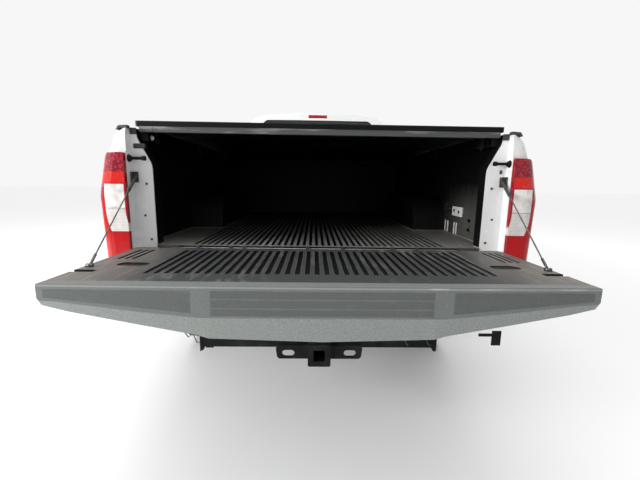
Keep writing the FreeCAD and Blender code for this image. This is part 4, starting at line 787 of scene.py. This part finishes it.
# Distance in from the tyre's side, and radius, from its bead up to its shoulder
TYRE_WALL = ((0.034, 0.2275), (0.02, 0.24), (0.01, 0.262), (0.001, 0.3), (0.001, 0.332),
             (0.006, 0.368), (0.022, 0.395), (0.06, 0.4015))


def tread_block(mesh, x, width, length, skew, turn):
    made = bmesh.ops.create_cube(mesh, size=1.0)["verts"]
    bmesh.ops.scale(mesh, vec=(width, length, TREAD_HEIGHT), verts=made)
    bmesh.ops.rotate(mesh, cent=(0, 0, 0), matrix=Matrix.Rotation(skew, 3, "Z"), verts=made)
    drop = 0.0075 * (abs(x) / 0.115) ** 3
    bmesh.ops.translate(mesh, vec=(x, 0, TYRE_RADIUS - 0.0062 - drop), verts=made)
    bmesh.ops.rotate(mesh, cent=(0, 0, 0), matrix=Matrix.Rotation(turn, 3, "X"), verts=made)


# Tyre with block tread, standing for the plain solid one
def tyre(end, word, place):
    wall = [(inset - TYRE_WIDTH / 2, 0.0, radius) for inset, radius in TYRE_WALL]
    crown = (0.0, 0.0, TYRE_RADIUS - 0.0105)
    points = wall + [crown] + [(-x, 0.0, radius) for x, _, radius in reversed(wall)]
    mesh = bmesh.new()
    turn_profile(mesh, points, (1, 0, 0), 96)
    step = math.tau / TREAD_STEPS
    for i in range(TREAD_STEPS):
        turn = i * step
        tread_block(mesh, -0.106, 0.036, 0.03, 0.1, turn)
        tread_block(mesh, 0.106, 0.036, 0.03, 0.1, turn + step / 2)
        tread_block(mesh, -0.058, 0.04, 0.032, 0.45, turn + step / 3)
        tread_block(mesh, 0.058, 0.04, 0.032, 0.45, turn + step * 5 / 6)
        tread_block(mesh, 0.0, 0.044, 0.031, -0.45, turn + step / 6)
    bmesh.ops.translate(mesh, vec=place, verts=mesh.verts)
    rubber = fitted(f"road_tyre_{end}_{word}", mesh, RUBBER, f"wheel_{end}_{word}")
    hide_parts(f"tyre_{end}_{word}")


def wheel_nuts(end, word, place):
    mesh = bmesh.new()
    upright = Matrix.Rotation(math.radians(90), 3, "Y")
    for i in range(NUT_COUNT):
        angle = math.tau * i / NUT_COUNT
        made = bmesh.ops.create_cone(mesh, cap_ends=True, segments=6, radius1=0.0115,
                                     radius2=0.01, depth=0.03)["verts"]
        bmesh.ops.rotate(mesh, cent=(0, 0, 0), matrix=upright, verts=made)
        spot = (0.0, NUT_CIRCLE * math.cos(angle), NUT_CIRCLE * math.sin(angle))
        bmesh.ops.translate(mesh, vec=spot, verts=made)
    bmesh.ops.translate(mesh, vec=place, verts=mesh.verts)
    fitted(f"wheel_nuts_{end}_{word}", mesh, CHROME, f"wheel_{end}_{word}")


def wheels():
    for end, x, y in (("front", FRONT_WHEEL_X, FRONT_AXLE_Y), ("rear", REAR_WHEEL_X, REAR_AXLE_Y)):
        for word, side in SIDES:
            tyre(end, word, (side * x, y, TYRE_RADIUS))
            wheel_nuts(end, word, (side * (x + 0.085), y, TYRE_RADIUS))


# Hardware of the open rear end
STRIKER_Y = TAIL_Y + 0.045
STRIKER_Z = 1.345
ANCHOR_Z = 1.268
JAMB_SIDE_X = 0.866


def striker(word, side):
    mesh = bmesh.new()
    way = Vector((-side, 0, 0))
    foot = Vector((side * JAMB_SIDE_X, STRIKER_Y, STRIKER_Z))
    rod(mesh, foot - way * 0.002, foot + way * 0.012, 0.019, 28, 0.011)
    rod(mesh, foot, foot + way * 0.066, 0.0068, 20)
    rod(mesh, foot + way * 0.06, foot + way * 0.074, 0.0105, 24)
    fitted(f"striker_{word}", mesh, CHASSIS)


# Thin enough to lie beside and behind the closed tailgate
def cable_anchor(word, side):
    mesh = bmesh.new()
    foot = ANCHOR_Z - 0.03
    far_top = (JAMB_Y + 0.001, ANCHOR_Z + 0.018)
    side_block(mesh, side, 0.859, 0.8655, (JAMB_Y - 0.026, foot), far_top, 0.0015)
    side_block(mesh, side, 0.84, 0.861, (JAMB_Y - 0.0035, foot), far_top, 0.0012)
    bolt(mesh, (side * 0.849, JAMB_Y - 0.003, ANCHOR_Z + 0.006), (0, -1, 0), 0.007, 0.0022)
    fitted(f"cable_anchor_{word}", mesh, DARK_STEEL)


# Rubber stop for the closed tailgate, with plugs below it
def jamb_bumper(word, side):
    mesh = bmesh.new()
    if side < 0:
        block(mesh, (-0.854, JAMB_Y - 0.0055, 1.39), (-0.8, JAMB_Y + 0.012, 1.412), 0.0045, 3)
    else:
        block(mesh, (0.836, JAMB_Y - 0.005, 1.3), (0.847, JAMB_Y + 0.001, 1.318), 0.0015)
    for x, z in ((0.806, 1.232), (0.822, 1.085), (0.8, 0.972)):
        rod(mesh, (side * x, JAMB_Y + 0.001, z), (side * x, JAMB_Y - 0.0022, z), 0.0062, 20, 0.005)
    fitted(f"jamb_bumper_{word}", mesh, BLACK, smooth=True)


# Black caps lie along the tops of the bed's sides
RAIL_CAP = ((0.846, 1.4752), (0.882, 1.4752), (0.889, 1.47),
            (0.893, 1.4715), (0.886, 1.4805), (0.846, 1.4805))
RAIL_CAP_TAIL = ((0.862, 1.4752), (0.895, 1.4752), (0.903, 1.466),
                 (0.912, 1.468), (0.9, 1.486), (0.862, 1.4885))
RAIL_CAP_END_Y = JAMB_Y - 0.004


def rail_cap(word, side):
    mesh = bmesh.new()
    outline = [(side * x, RAIL_CAP_END_Y, z) for x, z in RAIL_CAP]
    plate(mesh, outline, (0, BULKHEAD_Y + 0.03 - RAIL_CAP_END_Y, 0), 0.0012)
    tail = [(side * x, TAIL_Y + 0.04, z) for x, z in RAIL_CAP_TAIL]
    plate(mesh, tail, (0, RAIL_CAP_END_Y - TAIL_Y - 0.039, 0), 0.001)
    side_block(mesh, side, 0.836, 0.8655, (JAMB_Y - 0.003, 1.452), (JAMB_Y + 0.001, 1.48), 0.001)
    fitted(f"rail_cap_{word}", mesh, BLACK)


# The liner turns over the bed's rails, so no paint shows inside
LINER_LIP = ((0.797, 1.4835), (0.7995, 1.4835), (0.7995, 1.4295),
             (0.846, 1.4295), (0.846, 1.4262), (0.797, 1.4262))


def liner_lip(word, side):
    mesh = bmesh.new()
    near_y = JAMB_Y + 0.028
    outline = [(side * x, near_y, z) for x, z in LINER_LIP]
    plate(mesh, outline, (0, BULKHEAD_Y - near_y, 0))
    side_block(mesh, side, 0.797, 0.846, (near_y, 1.4262), (near_y + 0.0118, 1.476))
    fitted(f"liner_lip_{word}", mesh, LINER)


def bulkhead_trim():
    mesh = bmesh.new()
    block(mesh, (-0.846, BULKHEAD_Y - 0.014, 1.424), (0.846, BULKHEAD_Y - 0.001, 1.466), 0.003)
    block(mesh, (-0.836, BULKHEAD_Y - 0.02, 1.464), (0.836, BULKHEAD_Y + 0.012, 1.4898), 0.002)
    fitted("bulkhead_trim", mesh, LINER)


SEAL_HALF = 0.69
SEAL_FOOT_Z = 0.896
SILL_TOP_Z = 0.9462


# Rubber strip with clips on the sill, with a broken line of paint above it
def sill_seal():
    mesh = bmesh.new()
    face = JAMB_Y - 0.0002
    near = JAMB_Y - 0.004
    block(mesh, (-SEAL_HALF, near, SEAL_FOOT_Z), (SEAL_HALF, face, 0.9325), 0.0015)
    for side in (-1, 1):
        side_block(mesh, side, 0.668, 0.7745, (near, SEAL_FOOT_Z), (face, SILL_TOP_Z), 0.0012)
    for x in (-0.582, -0.43, -0.365, -0.06, 0.11, 0.35, 0.47):
        block(mesh, (x - 0.008, JAMB_Y - 0.005, 0.925), (x + 0.008, face, SILL_TOP_Z), 0.0012)
    for left, right in ((0.2, SEAL_HALF), (-SEAL_HALF, -0.52)):
        block(mesh, (left, JAMB_Y - 0.0045, 0.928), (right, face, 0.9343), 0.001)
    fitted("sill_seal", mesh, BLACK)


# The cap's outer face is crowned across the tailgate
def cap_face_y(x):
    return GATE_FAR_Y - 0.008 * (1.0 - (x / GATE_HALF) ** 2)


# A panel on the crowned face of the cap, with its foot rising from foot_z[0] to foot_z[1]
def cap_panel(mesh, x0, x1, foot_z, top_z):
    made = bmesh.ops.create_grid(mesh, x_segments=14, y_segments=1, size=0.5)["verts"]
    for vert in made:
        share = vert.co.x + 0.5
        x = x0 + (x1 - x0) * share
        foot = foot_z[0] + (foot_z[1] - foot_z[0]) * share
        vert.co = (x, cap_face_y(x) - 0.0004, foot + (top_z - foot) * (vert.co.y + 0.5))
    thicken(mesh, list({face for vert in made for face in vert.link_faces}), (0, 0.002, 0))


def cap_panels():
    mesh = bmesh.new()
    for side in (-1, 1):
        cap_panel(mesh, side * 0.4, side * 0.838, (0.853, 0.896), 0.9235)
    for foot, top in ((0.8985, 0.9235), (0.8695, 0.8955), (0.8445, 0.8665)):
        cap_panel(mesh, -0.34, 0.34, (foot, foot), top)
    face_outwards(mesh)
    fitted("cap_panels", mesh, CAP_PANEL, "tailgate")


# The tailgate's cables, drawn straight between the jamb and the open gate
CABLE_TOP = Vector((0.846, JAMB_Y - 0.0093, ANCHOR_Z))
CABLE_LOW = Vector((0.828, TAIL_Y - 0.338, GATE_TOP_Z + 0.0049))


def cable_run(mesh, start, end, radius, steps):
    for _, side in SIDES:
        places = []
        for i in range(steps + 1):
            place = CABLE_TOP.lerp(CABLE_LOW, start + (end - start) * i / steps)
            places.append((side * place.x, place.y, place.z))
        tube(mesh, places, radius)


def folding(name, mesh, finish):
    face_outwards(mesh)
    piece = shown(name, mesh, finish)
    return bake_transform(piece)


def gate_cables():
    mesh = bmesh.new()
    cable_run(mesh, 0.02, 0.95, 0.0028, 28)
    for _, side in SIDES:
        end = Vector((side * CABLE_LOW.x, CABLE_LOW.y, CABLE_LOW.z))
        rod(mesh, end - Vector((side * 0.01, 0, 0)), end + Vector((side * 0.012, 0, 0)), 0.0072, 20)
    cable_run(mesh, 0.9, 0.985, 0.005, 3)
    cables = folding("gate_cables", mesh, DARK_STEEL)
    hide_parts("tailgate_cables")
    sleeves = bmesh.new()
    cable_run(sleeves, 0.015, 0.2, 0.0072, 8)
    cable_run(sleeves, 0.2, 0.24, 0.0048, 2)
    folding("gate_cable_sleeves", sleeves, BLACK)


# Black lining over the throat between the jambs
JAMB_LINING = ((0.773, 0.946), (0.773, 1.299), (0.7755, 1.318), (0.782, 1.336), (0.8298, 1.4285),
               (0.8335, 1.44), (0.8362, 1.454), (0.8364, 1.475))


def jamb_lining(word, side):
    mesh = bmesh.new()
    outline = [(side * x, JAMB_Y + 0.004, z) for x, z in JAMB_LINING]
    outline += [(side * (x + 0.0017), JAMB_Y + 0.004, z) for x, z in reversed(JAMB_LINING)]
    plate(mesh, outline, (0, 0.06, 0))
    fitted(f"jamb_lining_{word}", mesh, LINER)


# Painted side of the jamb, next to the lamp
def jamb_side(word, side):
    mesh = bmesh.new()
    side_block(mesh, side, 0.8652, 0.8661, (TAIL_Y + 0.02, 0.885), (JAMB_Y, 1.376))
    fitted(f"jamb_side_{word}", mesh, PAINT)


# Piece on the inner side of the right wall: near and far end, foot, top and thickness
def on_right_wall(mesh, near, far, foot, top, thick, bevel=0.001):
    wall = BED_WALL_X - 0.0005
    block(mesh, (wall - thick, TAIL_Y + near, foot), (wall, TAIL_Y + far, top), bevel)


# A cast cleat with its bracket, and below it four pale bars, painted highlights on the wall's flutes
def wall_cleat():
    bright = bmesh.new()
    on_right_wall(bright, 0.42, 0.555, 1.062, 1.118, 0.012, 0.003)
    # Painted highlights: pale bars where the wall's flutes catch the light
    for near in (0.492, 0.524, 0.622, 0.662):
        on_right_wall(bright, near, near + 0.014, 0.952, 1.022, 0.004, 0.0015)
    fitted("wall_cleat", bright, ZINC)
    dark = bmesh.new()
    on_right_wall(dark, 0.555, 0.645, 1.076, 1.121, 0.008, 0.002)
    on_right_wall(dark, 0.65, 0.705, 1.08, 1.13, 0.005, 0.0015)
    for y, z in ((0.6, 1.098), (0.455, 1.09), (0.52, 1.096)):
        bolt(dark, (BED_WALL_X - 0.008, TAIL_Y + y, z), (-1, 0, 0), 0.01, 0.008)
    fitted("wall_bracket", dark, DARK_STEEL)
    slot = bmesh.new()
    middle = TAIL_Y + 0.342
    for z in (0.99, 1.058):
        rod(slot, (BED_WALL_X - 0.0014, middle, z), (BED_WALL_X - 0.0004, middle, z), 0.018, 28)
    on_right_wall(slot, 0.324, 0.36, 0.99, 1.058, 0.0009, 0.0)
    fitted("wall_pocket", slot, LINER)


# Clamps hold the folding cover to its side rails, at these distances from the tail
CLAMP_X = 0.786
CLAMP_PLACES = (0.15, 0.76, 1.42)


def cover_clamp(word, side):
    mesh = bmesh.new()
    x = side * CLAMP_X
    for away in CLAMP_PLACES:
        place = TAIL_Y + away
        block(mesh, (x - 0.006, place, 1.425), (x + 0.006, place + 0.03, 1.489), 0.002)
        block(mesh, (x - 0.016, place - 0.004, 1.425), (x + 0.016, place + 0.034, 1.434), 0.002)
        bolt(mesh, (x, place + 0.015, 1.4255), (0, 0, -1), 0.007, 0.01)
    fitted(f"cover_clamp_{word}", mesh, CHASSIS)


# Bright nut under the cover's left rear corner
def cover_nut():
    mesh = bmesh.new()
    bolt(mesh, (-0.795, TAIL_Y + 0.128, 1.443), (0, -1, 0), 0.0075, 0.008)
    fitted("cover_nut", mesh, ZINC)


# Dark lining in the tailgate's slots for the strikers
def latch_lining():
    mesh = bmesh.new()
    y = GATE_PIVOT_Y - (STRIKER_Z - GATE_PIVOT_Z)
    foot = GATE_PIVOT_Z + (STRIKER_Y - GATE_PIVOT_Y) - 0.0149
    top = GATE_TOP_Z - 0.0005
    for side in (-1, 1):
        side_block(mesh, side, 0.777, 0.857, (y - 0.0149, foot), (y + 0.0149, foot + 0.0008))
        side_block(mesh, side, 0.777, 0.857, (y - 0.0149, foot), (y - 0.0141, top))
        side_block(mesh, side, 0.777, 0.857, (y + 0.0141, foot), (y + 0.0149, top))
    fitted("latch_lining", mesh, CHASSIS, "tailgate")


# Trim at both ends of the cover's rear edge
def cover_rear_trim():
    mesh = bmesh.new()
    for _, side in SIDES:
        side_block(mesh, side, 0.7645, 0.828, (TAIL_Y + 0.076, 1.464), (TAIL_Y + 0.096, 1.4899), 0.002)
    fitted("cover_rear_trim", mesh, VINYL, "cover_rear")


# Brackets and loose wires about the tow beam
def hitch_details():
    mesh = bmesh.new()
    y = TAIL_Y - 0.046
    block(mesh, (-0.556, y, 0.462), (-0.551, y + 0.06, 0.53), 0.001)
    block(mesh, (-0.53, y + 0.004, 0.478), (-0.494, y + 0.008, 0.524), 0.001)
    block(mesh, (0.868, y + 0.09, 0.452), (0.915, y + 0.096, 0.53), 0.002)
    block(mesh, (0.8, y + 0.09, 0.5), (0.872, y + 0.094, 0.516), 0.001)
    fitted("tow_brackets", mesh, CHASSIS)
    soft = bmesh.new()
    for x in (0.405, 0.506):
        tube(soft, [(x, y + 0.02, 0.56), (x, y - 0.01, 0.52), (x + 0.01, y - 0.014, 0.502),
                    (x + 0.02, y - 0.004, 0.508)], 0.003)
    far = TAIL_Y + 0.1
    tube(soft, [(-0.69, far, 0.5), (-0.664, far - 0.002, 0.462), (-0.64, far, 0.478),
                (-0.622, far - 0.002, 0.436), (-0.6, far, 0.43), (-0.576, far - 0.002, 0.48)], 0.003)
    fitted("tow_wiring", soft, BLACK, smooth=True)


def rear_hardware():
    for build in (sill_seal, bulkhead_trim, cap_panels, gate_cables, wall_cleat, cover_rear_trim,
                  hitch_details, cover_nut, latch_lining):
        build()
    for word, side in SIDES:
        for build in (liner_lip, jamb_lining, jamb_side, cover_clamp, striker, cable_anchor,
                      jamb_bumper, rail_cap):
            build(word, side)


# Place where a ray from a start along a way meets a solid
def touch(name, start, way):
    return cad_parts[name].ray_cast(Vector(start), Vector(way))[1]


# Outer face of the windscreen near its foot
def windscreen_y(x, z):
    return 1.7 - 0.175 * x * x - 1.24 * (z - 1.5)


WIPER_PIVOTS = (-0.58, 0.06)


def wipers():
    mesh = bmesh.new()
    for pivot in WIPER_PIVOTS:
        foot = (pivot, windscreen_y(pivot, 1.468) + 0.022, 1.468)
        middle = (pivot + 0.29, windscreen_y(pivot + 0.29, 1.515) + 0.024, 1.515)
        bolt(mesh, (foot[0], foot[1], foot[2] - 0.004), (0, 0.6, 1.0), 0.01, 0.014)
        tube(mesh, [foot, (pivot + 0.12, windscreen_y(pivot + 0.12, 1.49) + 0.03, 1.49), middle], 0.0055)
        blade = [(pivot + 0.02 + 0.105 * i, 1.505 + 0.004 * i) for i in range(6)]
        tube(mesh, [(x, windscreen_y(x, z) + 0.01, z) for x, z in blade], 0.0065)
    fitted("wipers", mesh, BLACK, smooth=True)


# Reflector bowls inside each headlamp: x and face of each column, and heights of the rows
BOWL_COLUMNS = ((0.742, 3.224), (0.862, 3.189))
BOWL_ROWS = (1.046, 1.196)


def headlamp_bowls(word, side):
    mesh = bmesh.new()
    for x, face_y in BOWL_COLUMNS:
        for z in BOWL_ROWS:
            rod(mesh, (side * x, face_y - 0.06, z), (side * x, face_y - 0.01, z), 0.014, 32, 0.05)
            rod(mesh, (side * x, face_y - 0.012, z), (side * x, face_y - 0.006, z), 0.024, 32, 0.02)
    fitted(f"headlamp_bowls_{word}", mesh, CHROME, smooth=True)


TOW_HOOK_X = 0.53


def tow_hook(word, side):
    mesh = bmesh.new()
    x = side * TOW_HOOK_X
    y = touch("front_bumper", (x, 4.0, 0.62), (0, -1, 0)).y
    loop = ((-0.02, 0.604), (0.026, 0.598), (0.038, 0.618), (0.026, 0.638), (-0.02, 0.632))
    tube(mesh, [(x, y + ahead, z) for ahead, z in loop], 0.0085)
    block(mesh, (x - 0.02, y - 0.006, 0.588), (x + 0.02, y + 0.004, 0.648), 0.003)
    fitted(f"tow_hook_{word}", mesh, CHASSIS, smooth=True)


# Square fuel door in a thin dark gap
FUEL_DOOR_Y = -0.9
FUEL_DOOR_Z = 1.16
FUEL_DOOR_HALF = 0.082
FUEL_GAP_HALF = FUEL_DOOR_HALF + 0.003


def fuel_plate(mesh, outer_x, inner_x, half, bevel):
    block(mesh, (outer_x, FUEL_DOOR_Y - half, FUEL_DOOR_Z - half),
          (inner_x, FUEL_DOOR_Y + half, FUEL_DOOR_Z + half), bevel)


def fuel_door():
    gap = bmesh.new()
    fuel_plate(gap, -1.0078, -1.006, FUEL_GAP_HALF, 0.0006)
    fitted("fuel_door_gap", gap, BLACK)
    lid = bmesh.new()
    fuel_plate(lid, -1.0088, -1.0062, FUEL_DOOR_HALF, 0.0012)
    fitted("fuel_door", lid, PAINT)


# Black seal along the foot of each side window
BELT_Z = 1.366
BELT_SPANS = 8


def belt_seal(place, word, side, low_y, high_y):
    mesh = bmesh.new()
    places = []
    for i in range(BELT_SPANS + 1):
        y = low_y + (high_y - low_y) * i / BELT_SPANS
        skin = touch(f"{place}_door_{word}", (side * 1.5, y, BELT_Z), (-side, 0, 0))
        places.append((skin.x, y, BELT_Z))
    tube(mesh, places, 0.0065)
    fitted(f"belt_seal_{place}_{word}", mesh, BLACK, f"{place}_door_{word}", smooth=True)


# Two pressed ribs on each half of the roof
BEADS_X = (-0.42, -0.16, 0.16, 0.42)
BEAD_START_Y = -0.42
BEAD_LENGTH = 1.4
BEAD_SPANS = 11


def roof_beads():
    mesh = bmesh.new()
    for x in BEADS_X:
        places = []
        for i in range(BEAD_SPANS + 1):
            y = BEAD_START_Y + BEAD_LENGTH * i / BEAD_SPANS
            skin = touch("cab_body", (x, y, 3.0), (0, 0, -1))
            places.append((x, y, skin.z - 0.0055))
        tube(mesh, places, 0.0075, 12)
    fitted("roof_beads", mesh, PAINT, smooth=True)


# Grip ridges along the running boards, one stretch below each door
GRIPS_X = (0.925, 0.94, 0.955, 0.97)
GRIPS_Y = ((-0.3, 0.42), (0.62, 1.34))


def board_grips(word, side):
    mesh = bmesh.new()
    top = touch("running_boards", (side * GRIPS_X[2], 0.6, 1.2), (0, 0, -1))
    foot = top.z - 0.002
    crest = top.z + 0.003
    for x in GRIPS_X:
        for low, high in GRIPS_Y:
            block(mesh, (side * x - 0.0035, low, foot), (side * x + 0.0035, high, crest), 0.0012)
    fitted(f"board_grips_{word}", mesh, BLACK)


# Ribbed cover on the engine, battery and filter boxes, and a hose to the radiator
def engine_bay():
    mesh = bmesh.new()
    block(mesh, (-0.235, 2.06, 1.268), (0.235, 2.76, 1.288), 0.006)
    for i in range(6):
        x = -0.18 + 0.072 * i
        block(mesh, (x - 0.008, 2.1, 1.286), (x + 0.008, 2.72, 1.296), 0.003)
    block(mesh, (0.43, 2.42, 0.99), (0.6, 2.7, 1.19), 0.008)
    block(mesh, (-0.6, 2.3, 1.0), (-0.42, 2.64, 1.2), 0.02)
    rod(mesh, (-0.51, 2.47, 1.198), (-0.51, 2.47, 1.222), 0.04, 28)
    tube(mesh, [(0.24, 2.7, 1.2), (0.26, 2.8, 1.215), (0.27, 2.88, 1.205),
                (0.275, 2.95, 1.17)], 0.026, 16)
    fitted("engine_bay", mesh, BLACK)
    metal = bmesh.new()
    for x in (0.46, 0.57):
        rod(metal, (x, 2.56, 1.188), (x, 2.56, 1.206), 0.011, 20)
    for y in (2.715, 2.87):
        x = 0.235 + 0.15 * (y - 2.7)
        rod(metal, (x, y - 0.008, 1.203), (x + 0.002, y + 0.008, 1.205), 0.03, 28)
    fitted("battery_posts", metal, STEEL)


def outer_details():
    bpy.context.view_layer.update()
    wipers()
    fuel_door()
    roof_beads()
    engine_bay()
    for word, side in SIDES:
        headlamp_bowls(word, side)
        tow_hook(word, side)
        board_grips(word, side)
        belt_seal("front", word, side, 0.62, 1.48)
        belt_seal("rear", word, side, -0.38, 0.48)


# The floor stays as pale far away as it is near the truck
def floor():
    finish = new_finish("studio_floor", (0.86, 0.86, 0.865), 0.6)
    centre = node(finish, "ShaderNodeVectorMath", operation="LENGTH")
    join(finish, position(finish, (0.6, 0.4, 1.0)), centre.inputs[0])
    far = ramp(finish, centre.outputs["Value"], 1.1, 3.6, 0.05, 0.4)
    rays = node(finish, "ShaderNodeLightPath")
    glow = times(finish, far, rays.outputs["Is Camera Ray"])
    set_input(finish, "Emission Color", (1.0, 1.0, 1.0, 1.0))
    join(finish, glow, shader_of(finish).inputs["Emission Strength"])
    mesh = bmesh.new()
    bmesh.ops.create_grid(mesh, x_segments=1, y_segments=1, size=60.0)
    shown("studio_floor", mesh, finish, smooth=False)


photo_camera()
studio_light()
floor()
dress_nodes()
wheels()
rear_hardware()
outer_details()
